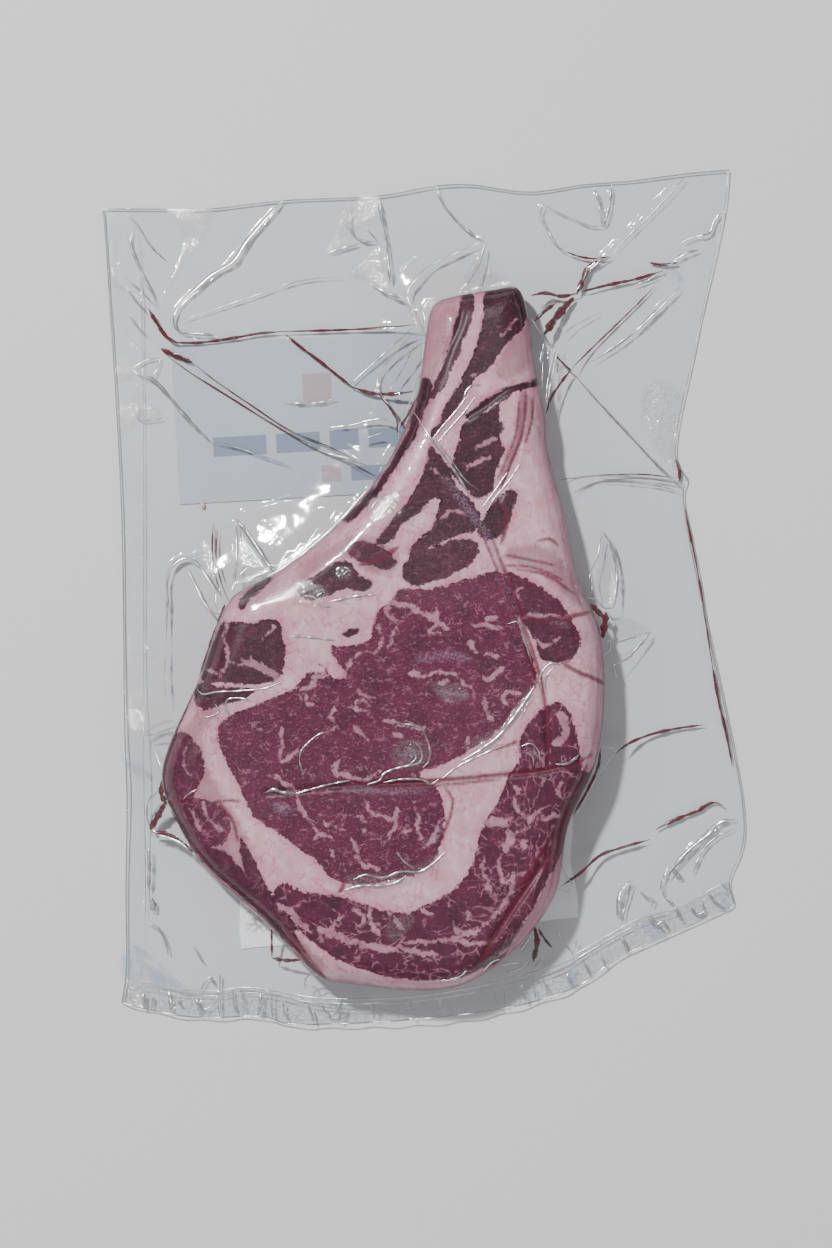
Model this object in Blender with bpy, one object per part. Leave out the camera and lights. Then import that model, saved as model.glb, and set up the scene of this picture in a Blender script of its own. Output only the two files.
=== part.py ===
# Rib steak with a long tail in a clear vacuum bag, with two paper labels stuck behind it
# The pack lies flat: +Z up, +Y along the bag, sizes below in millimetres
import math

import bpy
import numpy as np
from mathutils import Vector
from mathutils.geometry import delaunay_2d_cdt

MM = 0.001

# Driving sizes
BELLY_HEIGHT = 11.0
EYE_HEIGHT = 33.0
TAIL_HEIGHT = 26.0
LEFT_LOBE_DROP = 4.0
TOP_ROUNDING = 13.0
BOTTOM_ROUNDING = 10.0
EDGE_SPACING = 4.6
FACE_SPACING = 4.9
UNDERSIDE_SPACING = 13.0
FILM_THICKNESS = 0.7
FILM_SPACING = 7.4
FILM_GAP = 0.35
FILM_DRAPE = 15.0
FILM_REST = 1.75
LABEL_THICKNESS = 0.4
LABEL_RECESS = 0.9
RECESS_REACH = (2.2, 4.6)

# Where the outline of the steak turns, seen from above
STEAK_TURNS = [
    (3, 117), (6, 120.5), (29.5, 125.5), (38.5, 126), (46.5, 89), (50, 70.5), (50, 64),
    (58, 31.5), (64.5, 2.5), (71.5, -12), (74, -40), (70.5, -67), (59.5, -92.5), (52, -125.5),
    (16.5, -158.5), (-32, -158), (-41.5, -156), (-66, -132), (-89.5, -110.5), (-101.5, -90.5),
    (-107, -73), (-91, -31.5), (-78, 0), (-59, 10.5), (-38.5, 26.5), (-16, 53), (-3, 82),
]

# Where the edge of the bag turns, with its pinch on the right side
BAG_TURNS = [
    (-132, 159.5), (-104.5, 159.5), (-89.5, 159.5), (-57.5, 163), (-18, 165), (5.5, 169),
    (18.5, 169.5), (43.5, 166.5), (66, 169.5), (84.5, 171), (108, 174), (125.5, 175.5),
    (124, 160), (112.5, 105.5), (104, 57), (108.5, 48), (107, 43), (131.5, -85.5),
    (131.5, -102), (126, -117.5), (127.5, -127), (123, -129.5), (79, -149.5), (64, -160),
    (32, -169.5), (-57, -175.5), (-64, -173), (-95, -173), (-119, -168.5), (-124, -167),
    (-122.5, -155), (-122.5, -119.5), (-122, -82.5), (-123, -54.5), (-124.5, 39.5), (-130, 132),
]

# Folds of the film around the steak: height, half width, path
FILM_FOLDS = [
    (3.2, 5.0, [(-112, 117), (-96, 97), (-47, 68), (-22, 52)]),
    (1.6, 4.5, [(-101, 104), (-59, 109), (-6, 110)]),
    (1.8, 4.5, [(-53, 104), (-31, 88), (-12, 83)]),
    (2.2, 5.0, [(-127, 131), (-114, 119)]),
    (1.8, 5.0, [(-124, 91), (-111, 89), (-91, 66), (-62, 58)]),
    (2.4, 5.5, [(-58, 160), (-77, 138), (-98, 116)]),
    (2.6, 6.0, [(-18, 161), (-14, 136), (-9, 122)]),
    (1.8, 5.0, [(7, 165), (24, 148), (-2, 130)]),
    (2.2, 5.0, [(50, 160), (58, 143), (54, 130)]),
    (2.4, 5.0, [(104, 170), (74, 140), (63, 127)]),
    (2.2, 5.0, [(56, 121), (76, 128), (99, 134), (114, 148)]),
    (2.6, 5.0, [(62, 96), (82, 110), (104, 125)]),
    (3.0, 5.5, [(59, 92), (76, 74), (96, 54)]),
    (2.4, 4.5, [(60, 48), (72, 49), (93, 49)]),
    (2.8, 5.0, [(76, 26), (82, 11), (79, -2)]),
    (2.4, 5.0, [(78, -17), (95, -15)]),
    (2.4, 5.0, [(78, -62), (95, -59), (120, -54)]),
    (2.6, 5.0, [(63, -115), (93, -99), (124, -91)]),
    (2.0, 5.0, [(60, -137), (79, -133), (95, -112)]),
    (2.4, 5.5, [(-109, -58), (-108, -34), (-106, 3), (-97, 18), (-80, 16)]),
    (2.2, 5.0, [(-80, 8), (-77, 31), (-66, 17)]),
    (1.8, 5.0, [(-73, 34), (-51, 41), (-30, 38)]),
    (2.6, 5.0, [(-118, -62), (-113, -84)]),
    (2.2, 5.0, [(-116, -98), (-106, -105), (-96, -110)]),
    (1.8, 5.0, [(-119, -127), (-96, -139), (-78, -135)]),
]

# Creases and fat ridges on the face of the steak: height, half width, path
FACE_SEAMS = [
    (-2.2, 4.0, [(64, -72), (57, -92), (45, -112), (33, -130), (24, -143)]),
    (-1.6, 3.5, [(-60, -79), (-28, -77), (7, -74), (31, -72), (46, -70)]),
    (-1.6, 3.5, [(28, 23), (35, 3), (44, -28), (49, -44), (51, -64)]),
    (-1.2, 3.5, [(-54, -132), (-49, -140), (-42, -148)]),
    (-0.8, 3.5, [(-14, 0), (7, 4), (23, 9)]),
    (1.0, 5.0, [(-51, -113), (-33, -119), (-12, -124), (7, -120), (19, -108), (25, -94), (35, -80)]),
    (-1.2, 3.5, [(17, 116), (15, 109), (10, 100), (7, 91)]),
    (-1.2, 3.5, [(41, 86), (33, 83), (25, 77), (17, 72)]),
    (-1.2, 3.5, [(40, 76), (40, 64), (33, 48)]),
    (-0.9, 3.5, [(-78, -50), (-66, -44), (-51, -38), (-39, -31)]),
    (0.9, 4.5, [(-73, -99), (-79, -83), (-81, -71), (-82, -60)]),
    (0.9, 4.5, [(36, -104), (32, -118), (21, -131), (-3, -137)]),
]

# Labels: top left corner, size, turn in degrees, waviness of the edges
CARD_CORNER = (-103.9, 103.1)
CARD_SIZE = (146.0, 65.3)
CARD_TURN = 3.3
PAPER_CORNER = (-81.0, -79.2)
PAPER_SIZE = (139.2, 66.0)
PAPER_TURN = 5.4
PAPER_WAVE = 1.3


def clear_scene():
    for item in list(bpy.data.objects):
        bpy.data.objects.remove(item, do_unlink=True)


def rounded_path(turns, closed, spacing):
    """A smooth path through the turns, cut into equal steps."""
    points = [np.array(turn, float) for turn in turns]
    count = len(points)
    fine = []
    spans = count if closed else count - 1
    for start in range(spans):
        if closed:
            four = [points[(start + step) % count] for step in (-1, 0, 1, 2)]
        else:
            before = points[start - 1] if start > 0 else 2 * points[0] - points[1]
            last = start + 2 < count
            after = points[start + 2] if last else 2 * points[-1] - points[-2]
            four = [before, points[start], points[start + 1], after]
        knots = [0.0]
        for a, b in zip(four, four[1:]):
            knots.append(knots[-1] + math.sqrt(max(np.linalg.norm(b - a), 1e-6)))
        for step in range(24):
            at = knots[1] + (knots[2] - knots[1]) * step / 24
            layer = four
            for depth in (1, 2, 3):
                mixed = []
                for first in range(len(layer) - 1):
                    low = knots[first + 1] if depth == 3 else knots[first]
                    high = knots[first + 2] if depth == 3 else knots[first + depth]
                    share = (at - low) / (high - low)
                    mixed.append(layer[first] * (1 - share) + layer[first + 1] * share)
                layer = mixed
            fine.append(layer[0])
    fine.append(points[0] if closed else points[-1])
    fine = np.array(fine)
    lengths = np.concatenate([[0], np.cumsum(np.linalg.norm(np.diff(fine, axis=0), axis=1))])
    steps = max(2, int(round(lengths[-1] / spacing)))
    marks = np.linspace(0, lengths[-1], steps + 1)
    if closed:
        marks = marks[:-1]
    return np.column_stack([np.interp(marks, lengths, fine[:, axis]) for axis in (0, 1)])


def distance_to(points, path, closed):
    """Shortest distance from each point to the path."""
    starts = path if closed else path[:-1]
    ends = np.roll(path, -1, axis=0) if closed else path[1:]
    along = ends - starts
    offset = points[:, None, :] - starts[None]
    share = np.clip((offset * along).sum(2) / np.maximum((along * along).sum(1), 1e-9), 0, 1)
    return np.sqrt(((offset - share[..., None] * along) ** 2).sum(2).min(1))


def inside(points, loop):
    """True where a point lies inside the closed loop."""
    ends = np.roll(loop, -1, axis=0)
    above = (loop[None, :, 1] > points[:, None, 1]) != (ends[None, :, 1] > points[:, None, 1])
    rise = ends[:, 1] - loop[:, 1]
    rise = np.where(np.abs(rise) < 1e-9, 1e-9, rise)
    across = loop[:, 0] + (points[:, None, 1] - loop[:, 1]) / rise * (ends[:, 0] - loop[:, 0])
    return (above & (points[:, None, 0] < across)).sum(1) % 2 == 1


def outward(loop, amount):
    """The loop moved outward by the amount; the loop runs clockwise."""
    tangent = np.roll(loop, -1, axis=0) - np.roll(loop, 1, axis=0)
    tangent /= np.linalg.norm(tangent, axis=1)[:, None]
    normal = np.column_stack([-tangent[:, 1], tangent[:, 0]])
    return loop + normal * amount


def hex_points(loop, spacing, phase):
    """Evenly staggered points over the box around the loop."""
    low = loop.min(0)
    high = loop.max(0)
    found = []
    row_step = spacing * math.sqrt(3) / 2
    rows = int((high[1] - low[1]) / row_step) + 2
    columns = int((high[0] - low[0]) / spacing) + 2
    for row in range(rows):
        for column in range(columns):
            x = low[0] + (column + (0.5 if row % 2 else 0.0) + phase) * spacing
            found.append((x, low[1] + (row + phase) * row_step))
    return np.array(found)


def wave(points, first, second, third):
    """Slow unevenness, about -1 to 1."""
    x = points[:, 0]
    y = points[:, 1]
    one = np.sin(x * 0.061 + y * 0.037 + first)
    two = np.sin(-x * 0.043 + y * 0.083 + second)
    three = np.sin(x * 0.131 + y * 0.107 + third)
    return one * 0.45 + two * 0.35 + three * 0.2


def folds_over(points, folds):
    """Height that the folds add at each point."""
    total = np.zeros(len(points))
    for height, width, turns in folds:
        path = rounded_path(turns, False, 4.0)
        away = distance_to(points, path, False)
        share = np.clip(1 - away / width, 0, 1)
        total += height * share * share * (3 - 2 * share)
    return total


def label_frame(corner, size, turn):
    """Centre and the two directions of a turned label."""
    angle = math.radians(turn)
    right = np.array([math.cos(angle), math.sin(angle)])
    down = np.array([math.sin(angle), -math.cos(angle)])
    centre = np.array(corner) + right * size[0] / 2 + down * size[1] / 2
    return centre, right, down


def label_outside(points, corner, size, turn):
    """Distance from each point to the label's edge, negative inside."""
    centre, right, down = label_frame(corner, size, turn)
    local = points - centre
    across = np.abs(local @ right) - size[0] / 2
    along = np.abs(local @ down) - size[1] / 2
    return np.maximum(across, along)


def steak_crown(points):
    """Height of the face before its rounding, thinner toward the tail and left lobe."""
    tail = np.clip((points[:, 1] + 5) / 120, 0, 1)
    left = np.clip((-points[:, 0] - 60) / 45, 0, 1) * np.clip((-points[:, 1] + 10) / 60, 0, 1)
    height = EYE_HEIGHT + (TAIL_HEIGHT - EYE_HEIGHT) * tail - LEFT_LOBE_DROP * left
    return height - 0.6 + wave(points, 0.4, 1.9, 2.6) * 0.6


def steak_top(points, loop):
    away = distance_to(points, loop, True)
    share = np.clip(away / TOP_ROUNDING, 0, 1)
    bulge = (1 - (1 - share) ** 2.2) ** (1 / 2.2)
    relief = folds_over(points, FACE_SEAMS) * np.clip((away - 2) / 8, 0, 1)
    return BELLY_HEIGHT + (steak_crown(points) - BELLY_HEIGHT) * bulge + relief


def steak_bottom(points, loop):
    away = distance_to(points, loop, True)
    share = np.clip(away / BOTTOM_ROUNDING, 0, 1)
    height = BELLY_HEIGHT * (1 - (1 - (1 - share) ** 2.2) ** (1 / 2.2))
    card = label_outside(points, CARD_CORNER, CARD_SIZE, CARD_TURN)
    paper = label_outside(points, PAPER_CORNER, PAPER_SIZE, PAPER_TURN)
    near = np.minimum(card, paper)
    recess = LABEL_RECESS * np.clip((RECESS_REACH[1] - near) / (RECESS_REACH[1] - RECESS_REACH[0]), 0, 1)
    return np.maximum(height, recess)


def film_middle(points, loop, edge):
    away = distance_to(points, loop, True)
    drape = np.exp(-((away / FILM_DRAPE) ** 1.25))
    rim = distance_to(points, edge, True)
    level = FILM_REST + wave(points, 1.1, 0.2, 3.0) * 0.35
    folds = folds_over(points, FILM_FOLDS) * np.clip(away / 5, 0, 1) * np.clip(rim / 7, 0.3, 1)
    skirt = np.clip((-points[:, 1] - 140) / 22, 0, 1) * np.clip(1 - rim / 14, 0, 1)
    crimps = 1.5 * skirt * (0.5 + 0.5 * np.sin(points[:, 0] * 0.36))
    return level + (BELLY_HEIGHT - level) * drape + folds + crimps


def triangles_over(loop, hole, inner, paths):
    """Triangles between the loop and the hole, using the inner points and paths."""
    points = [tuple(point) for point in loop]
    edges = [(index, (index + 1) % len(loop)) for index in range(len(loop))]
    if hole is not None:
        start = len(points)
        points += [tuple(point) for point in hole]
        edges += [(start + index, start + (index + 1) % len(hole)) for index in range(len(hole))]
    for path in paths:
        start = len(points)
        points += [tuple(point) for point in path]
        edges += [(start + index, start + index + 1) for index in range(len(path) - 1)]
    points += [tuple(point) for point in inner]
    flat = [Vector((float(x), float(y))) for x, y in points]
    found, _, faces, origin, _, _ = delaunay_2d_cdt(flat, edges, [], 0, 1e-4)
    places = np.array([(point.x, point.y) for point in found])
    corners = np.array([list(face) for face in faces])
    centres = places[corners].mean(1)
    keep = inside(centres, loop)
    if hole is not None:
        keep &= ~inside(centres, hole)
    corners = corners[keep]
    ends = places[corners]
    first = ends[:, 1] - ends[:, 0]
    second = ends[:, 2] - ends[:, 0]
    turn = first[:, 0] * second[:, 1] - first[:, 1] * second[:, 0]
    corners[turn < 0] = corners[turn < 0][:, ::-1]
    used = sorted(set(corners.ravel().tolist()))
    renumber = {old: new for new, old in enumerate(used)}
    rim = len(loop) + (0 if hole is None else len(hole))
    rim_index = {}
    for old in used:
        for source in origin[old]:
            if source < rim:
                rim_index[source] = renumber[old]
    corners = [[renumber[corner] for corner in face] for face in corners.tolist()]
    return places[used], corners, rim_index


def unbroken_runs(path, fits):
    """The stretches of a path whose points all fit."""
    runs = []
    run = []
    for point, fit in zip(path, fits):
        if fit:
            run.append(point)
        else:
            runs.append(run)
            run = []
    runs.append(run)
    return [np.array(points) for points in runs if len(points) > 1]


def inner_paths(folds, allowed):
    """The middle lines of folds, cut to where they are allowed and thinned out."""
    kept = []
    taken = np.zeros((0, 2))
    for _, _, turns in folds:
        path = rounded_path(turns, False, 5.0)
        fits = allowed(path)
        if len(taken):
            near = np.sqrt(((path[:, None] - taken[None]) ** 2).sum(2)).min(1)
            fits &= near > 3.0
        kept += unbroken_runs(path, fits)
        if kept:
            taken = np.concatenate(kept)
    return kept, taken


def thin_out(points, taken, gap):
    if not len(taken):
        return points
    near = np.sqrt(((points[:, None] - taken[None]) ** 2).sum(2)).min(1)
    return points[near > gap]


def material(name, colour, roughness, alpha=1.0):
    made = bpy.data.materials.new(name)
    made.use_nodes = True
    surface = made.node_tree.nodes["Principled BSDF"]
    surface.inputs["Base Color"].default_value = (*colour, 1.0)
    surface.inputs["Roughness"].default_value = roughness
    surface.inputs["Metallic"].default_value = 0.0
    surface.inputs["Alpha"].default_value = alpha
    return made


def add_solid(name, points, faces, made, shade_smooth):
    mesh = bpy.data.meshes.new(name)
    mesh.from_pydata([tuple(float(value) * MM for value in point) for point in points], [], faces)
    mesh.validate()
    mesh.materials.append(made)
    if shade_smooth:
        for face in mesh.polygons:
            face.use_smooth = True
    item = bpy.data.objects.new(name, mesh)
    bpy.context.scene.collection.objects.link(item)
    return item


def build_steak(loop, shift, made):
    """Face and underside share one belly loop, so the steak closes there."""
    rings = []
    for depth, thinning in ((1.2, 1), (3.6, 1)):
        rings.append(outward(loop, -depth)[::thinning])
    rings = np.concatenate(rings)
    face_paths, taken = inner_paths(FACE_SEAMS, lambda path: distance_to(path, loop, True) > 6.5)
    grid = hex_points(loop, FACE_SPACING, 0.3)
    grid = grid[inside(grid, loop)]
    grid = grid[distance_to(grid, loop, True) > 5.6]
    grid = thin_out(grid, taken, 2.6)
    top_places, top_faces, top_rim = triangles_over(loop, None, np.concatenate([rings, grid]), face_paths)

    low_rings = np.concatenate([outward(loop, -1.2), outward(loop, -4.0)[::2], outward(loop, -10.3)[::2]])
    low_grid = hex_points(loop, UNDERSIDE_SPACING, 0.3)
    low_grid = low_grid[inside(low_grid, loop)]
    low_grid = low_grid[distance_to(low_grid, loop, True) > 15.0]
    low_paths = []
    for corner, size, turn in ((CARD_CORNER, CARD_SIZE, CARD_TURN), (PAPER_CORNER, PAPER_SIZE, PAPER_TURN)):
        centre, right, down = label_frame(corner, size, turn)
        for reach in RECESS_REACH:
            half_width = size[0] / 2 + reach
            half_height = size[1] / 2 + reach
            corners = [(-1, -1), (1, -1), (1, 1), (-1, 1), (-1, -1)]
            for start, end in zip(corners, corners[1:]):
                a = centre + right * start[0] * half_width + down * start[1] * half_height
                b = centre + right * end[0] * half_width + down * end[1] * half_height
                steps = max(2, int(np.linalg.norm(b - a) / 6.0))
                line = np.array([a + (b - a) * step / steps for step in range(steps + 1)])
                fits = inside(line, loop) & (distance_to(line, loop, True) > 12.0)
                low_paths += unbroken_runs(line, fits)
    low_grid = thin_out(low_grid, np.concatenate(low_paths), 7.0)
    inner = np.concatenate([low_rings, low_grid])
    low_places, low_faces, low_rim = triangles_over(loop, None, inner, low_paths)

    points = [(*place, height) for place, height in zip(top_places, steak_top(top_places, loop))]
    heights = steak_bottom(low_places, loop)
    rim_of_low = {low_rim[source]: top_rim[source] for source in low_rim}
    renumber = {}
    for index, (place, height) in enumerate(zip(low_places, heights)):
        if index in rim_of_low:
            renumber[index] = rim_of_low[index]
        else:
            renumber[index] = len(points)
            points.append((*place, height))
    faces = list(top_faces)
    faces += [[renumber[corner] for corner in face][::-1] for face in low_faces]
    points = np.array(points)
    points[:, :2] -= shift
    return add_solid("steak", points, faces, made, True)


def build_film(edge, loop, shift, made):
    """The flat margin of the bag: two skins of the same film, closed at edge and hole."""
    hole = outward(loop, FILM_GAP)

    def allowed(path):
        clear = inside(path, edge) & ~inside(path, hole)
        clear &= distance_to(path, edge, True) > 4.0
        return clear & (distance_to(path, hole, True) > 3.2)

    paths, taken = inner_paths(FILM_FOLDS, allowed)
    ring = outward(hole, 3.4)[::2]
    ring = ring[inside(ring, edge) & (distance_to(ring, edge, True) > 3.0)]
    ring = thin_out(ring, taken, 2.6)
    grid = hex_points(edge, FILM_SPACING, 0.35)
    grid = grid[inside(grid, edge) & ~inside(grid, hole)]
    grid = grid[(distance_to(grid, edge, True) > 3.6) & (distance_to(grid, hole, True) > 6.6)]
    grid = thin_out(grid, taken, 3.6)
    places, faces, rim = triangles_over(edge, hole, np.concatenate([ring, grid]), paths)
    middle = film_middle(places, loop, edge)
    count = len(places)
    half = FILM_THICKNESS / 2
    points = [(*place, height + half) for place, height in zip(places, middle)]
    points += [(*place, height - half) for place, height in zip(places, middle)]
    solid = list(faces)
    solid += [[corner + count for corner in face][::-1] for face in faces]
    edge_count = len(edge)
    walls = [(index, (index + 1) % edge_count) for index in range(edge_count)]
    walls += [(edge_count + (index + 1) % len(hole), edge_count + index) for index in range(len(hole))]
    for start, end in walls:
        a = rim[start]
        b = rim[end]
        solid += [[a, b, b + count], [a, b + count, a + count]]
    points = np.array(points)
    points[:, :2] -= shift
    return add_solid("bag_film", points, solid, made, True)


def build_label(name, corner, size, turn, wave_height, shift, made):
    """A thin sheet, flat on the ground, with straight or slightly wavy edges."""
    centre, right, down = label_frame(corner, size, turn)
    outline = []
    corners = [(-1, -1), (-1, 1), (1, 1), (1, -1)]
    for index, start in enumerate(corners):
        end = corners[(index + 1) % 4]
        a = np.array(start) * np.array(size) / 2
        b = np.array(end) * np.array(size) / 2
        steps = max(1, int(np.linalg.norm(b - a) / 6.0))
        side = (b - a) / np.linalg.norm(b - a)
        for step in range(steps):
            share = step / steps
            bend = wave_height * math.sin(share * math.pi) * math.sin(share * 11 + index * 2.1)
            outline.append(a + (b - a) * share + np.array([side[1], -side[0]]) * bend)
    places = np.array([centre + right * point[0] + down * point[1] for point in outline])
    count = len(places)
    points = [(*place, LABEL_THICKNESS) for place in places] + [(*place, 0.0) for place in places]
    faces = [list(range(count)), [index + count for index in reversed(range(count))]]
    for index in range(count):
        following = (index + 1) % count
        faces.append([following, index, index + count, following + count])
    points = np.array(points)
    points[:, :2] -= shift
    return add_solid(name, points, faces, made, False)


clear_scene()
steak_loop = rounded_path(STEAK_TURNS, True, EDGE_SPACING)
bag_edge = rounded_path(BAG_TURNS, True, EDGE_SPACING)
middle_of_bag = (bag_edge.min(0) + bag_edge.max(0)) / 2
meat = material("marbled_meat", (0.36, 0.15, 0.18), 0.32)
film = material("clear_film", (0.62, 0.62, 0.64), 0.22)
card = material("label_card", (0.70, 0.73, 0.76), 0.55)
paper = material("label_paper", (0.74, 0.74, 0.76), 0.6)
build_steak(steak_loop, middle_of_bag, meat)
build_film(bag_edge, steak_loop, middle_of_bag, film)
build_label("back_label", CARD_CORNER, CARD_SIZE, CARD_TURN, 0.0, middle_of_bag, card)
build_label("lower_label", PAPER_CORNER, PAPER_SIZE, PAPER_TURN, PAPER_WAVE, middle_of_bag, paper)
for item in bpy.data.objects:
    print(item.name, len(item.data.vertices), sum(len(face.vertices) - 2 for face in item.data.polygons))
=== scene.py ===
import math

import bpy
import numpy as np
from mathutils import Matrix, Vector
from mathutils.geometry import delaunay_2d_cdt


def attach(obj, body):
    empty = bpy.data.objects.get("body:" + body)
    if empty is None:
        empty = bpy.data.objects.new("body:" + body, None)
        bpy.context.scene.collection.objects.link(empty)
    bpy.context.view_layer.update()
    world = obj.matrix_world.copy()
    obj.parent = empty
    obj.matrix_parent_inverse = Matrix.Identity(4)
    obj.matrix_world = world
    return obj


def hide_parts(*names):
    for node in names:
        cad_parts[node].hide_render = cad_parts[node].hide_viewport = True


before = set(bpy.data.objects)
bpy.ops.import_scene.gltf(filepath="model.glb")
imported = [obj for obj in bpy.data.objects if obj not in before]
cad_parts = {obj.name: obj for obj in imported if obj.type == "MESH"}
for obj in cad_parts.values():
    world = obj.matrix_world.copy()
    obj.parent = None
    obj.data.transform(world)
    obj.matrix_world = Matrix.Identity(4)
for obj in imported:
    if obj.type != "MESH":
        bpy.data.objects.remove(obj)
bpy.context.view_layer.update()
print("frame loaded:", sorted(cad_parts))

# The solids' own sizes, in millimetres, so that the dressed pieces lie on them
packShape = {
    "bellyHeight": 11.0,
    "eyeHeight": 33.0,
    "tailHeight": 26.0,
    "tailStart": -5.0,
    "tailLength": 120.0,
    "leftLobeDrop": 4.0,
    "leftLobeStart": (-60.0, 10.0),
    "leftLobeReach": (45.0, 60.0),
    "roundness": 2.2,
    "topRounding": 13.0,
    "bottomRounding": 10.0,
    "filmRest": 1.75,
    "filmDrapePower": 1.25,
    "skirtTop": -140.0,
    "skirtFade": 22.0,
    "skirtDepth": 14.0,
    "skirtHeight": 1.3,
    "skirtRate": 0.36,
    "filmDrape": 15.0,
    "labelRecess": 0.9,
    "recessReach": (2.2, 4.6),
    "edgeSpacing": 4.6,
}

# The steak's outline and the bag's edge, in millimetres
steakTurns = [
    (3, 117), (6, 120.5), (29.5, 125.5), (38.5, 126), (46.5, 89), (50, 70.5), (50, 64), (58, 31.5),
    (64.5, 2.5), (71.5, -12), (74, -40), (70.5, -67), (59.5, -92.5), (52, -125.5), (16.5, -158.5),
    (-32, -158), (-41.5, -156), (-66, -132), (-89.5, -110.5), (-101.5, -90.5), (-107, -73), (-91, -31.5),
    (-78, 0), (-59, 10.5), (-38.5, 26.5), (-16, 53), (-3, 82), ]
bagTurns = [
    (-132, 159.5), (-104.5, 159.5), (-89.5, 159.5), (-57.5, 163), (-18, 165), (5.5, 169), (18.5, 169.5),
    (43.5, 166.5), (66, 169.5), (84.5, 171), (108, 174), (125.5, 175.5), (124, 160), (112.5, 105.5),
    (104, 57), (108.5, 48), (107, 43), (131.5, -85.5), (131.5, -102), (126, -117.5), (127.5, -127),
    (123, -129.5), (79, -149.5), (64, -160), (32, -169.5), (-57, -175.5), (-64, -173), (-95, -173),
    (-119, -168.5), (-124, -167), (-122.5, -155), (-122.5, -119.5), (-122, -82.5), (-123, -54.5),
    (-124.5, 39.5), (-130, 132), ]

# Traced shapes are in points: a point is 0.41 mm, x to the right and y down
pointSize = 0.41
pointMiddle = (423.5, 596.5)

knownPaths = {}


def smoothPath(turns, closed, spacing):
    # a smooth curve through the turns, in steps of equal length
    key = (tuple(tuple(turn) for turn in np.asarray(turns, float).tolist()), closed, spacing)
    if key in knownPaths:
        return knownPaths[key]
    points = [np.array(turn) for turn in key[0]]
    count = len(points)
    fine = []
    for start in range(count if closed else count - 1):
        if closed:
            four = [points[(start + step) % count] for step in (-1, 0, 1, 2)]
        else:
            before = points[start - 1] if start > 0 else 2 * points[0] - points[1]
            after = points[start + 2] if start + 2 < count else 2 * points[-1] - points[-2]
            four = [before, points[start], points[start + 1], after]
        knots = [0.0]
        for a, b in zip(four, four[1:]):
            knots.append(knots[-1] + math.sqrt(max(math.dist(a, b), 1e-6)))
        at = knots[1] + (knots[2] - knots[1]) * np.arange(24) / 24

        def between(a, b, low, high):
            share = ((at - low) / (high - low))[:, None]
            return a * (1 - share) + b * share

        first = [between(four[step], four[step + 1], knots[step], knots[step + 1]) for step in range(3)]
        second = [between(first[step], first[step + 1], knots[step], knots[step + 2]) for step in range(2)]
        fine.append(between(second[0], second[1], knots[1], knots[2]))
    fine.append((points[0] if closed else points[-1])[None])
    fine = np.concatenate(fine)
    lengths = np.concatenate([[0], np.cumsum(np.linalg.norm(np.diff(fine, axis=0), axis=1))])
    steps = max(2, int(round(lengths[-1] / spacing)))
    marks = np.linspace(0, lengths[-1], steps + 1)
    if closed:
        marks = marks[:-1]
    knownPaths[key] = np.column_stack([np.interp(marks, lengths, fine[:, axis]) for axis in (0, 1)])
    return knownPaths[key]


def nearLines(local, starts, ends):
    # squared distance to each line and how far along it, for a block of places
    along = ends - starts
    dx = local[:, :1] - starts[:, 0]
    dy = local[:, 1:] - starts[:, 1]
    share = (dx * along[:, 0] + dy * along[:, 1]) / np.maximum((along ** 2).sum(1), 1e-9)
    np.clip(share, 0, 1, out=share)
    return (dx - share * along[:, 0]) ** 2 + (dy - share * along[:, 1]) ** 2, share


def depthIn(places, loop, reach=12.0):
    # how deep each place lies inside the loop, negative outside, cut off at the reach
    near = ((places > loop.min(0) - reach) & (places < loop.max(0) + reach)).all(1)
    local = places[near]
    starts, ends = loop, np.roll(loop, -1, axis=0)
    rise = ends[:, 1] - starts[:, 1]
    slope = (ends[:, 0] - starts[:, 0]) / np.where(rise == 0, 1.0, rise)
    depth = np.empty(len(local))
    block = max(1, 400000 // len(loop))
    for first in range(0, len(local), block):
        part = local[first:first + block]
        squared, _ = nearLines(part, starts, ends)
        x, y = part[:, :1], part[:, 1:]
        crosses = (starts[:, 1] > y) != (ends[:, 1] > y)
        within = (crosses & (x < starts[:, 0] + (y - starts[:, 1]) * slope)).sum(1) % 2 == 1
        away = np.sqrt(squared.min(1))
        depth[first:first + block] = np.where(within, away, -away)
    found = np.full(len(places), -float(reach))
    found[near] = depth
    return np.clip(found, -reach, reach)


def awayFrom(places, path, reach=12.0):
    # distance to an open path and how far along it, 0 to 1
    near = ((places > path.min(0) - reach) & (places < path.max(0) + reach)).all(1)
    local = places[near]
    distances = np.full(len(places), float(reach))
    shares = np.zeros(len(places))
    best = np.empty(len(local))
    along = np.empty(len(local))
    block = max(1, 400000 // len(path))
    for first in range(0, len(local), block):
        squared, share = nearLines(local[first:first + block], path[:-1], path[1:])
        nearest = squared.argmin(1)
        rows = np.arange(len(nearest))
        best[first:first + block] = np.sqrt(squared[rows, nearest])
        along[first:first + block] = (nearest + share[rows, nearest]) / (len(path) - 1)
    distances[near] = np.minimum(best, reach)
    shares[near] = along
    return distances, shares


def moved(loop, amount):
    # the loop runs clockwise, so this moves it outward
    tangent = np.roll(loop, -1, axis=0) - np.roll(loop, 1, axis=0)
    tangent /= np.linalg.norm(tangent, axis=1)[:, None]
    return loop + np.column_stack([-tangent[:, 1], tangent[:, 0]]) * amount


def staggered(loop, spacing):
    low, high = loop.min(0), loop.max(0)
    rowStep = spacing * math.sqrt(3) / 2
    rows = np.arange(int((high[1] - low[1]) / rowStep) + 2)
    columns = np.arange(int((high[0] - low[0]) / spacing) + 2)
    x = low[0] + (columns[None, :] + 0.5 * (rows[:, None] % 2) + 0.3) * spacing
    y = low[1] + (rows[:, None] + 0.3) * rowStep + np.zeros_like(x)
    return np.column_stack([x.ravel(), y.ravel()])


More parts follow.
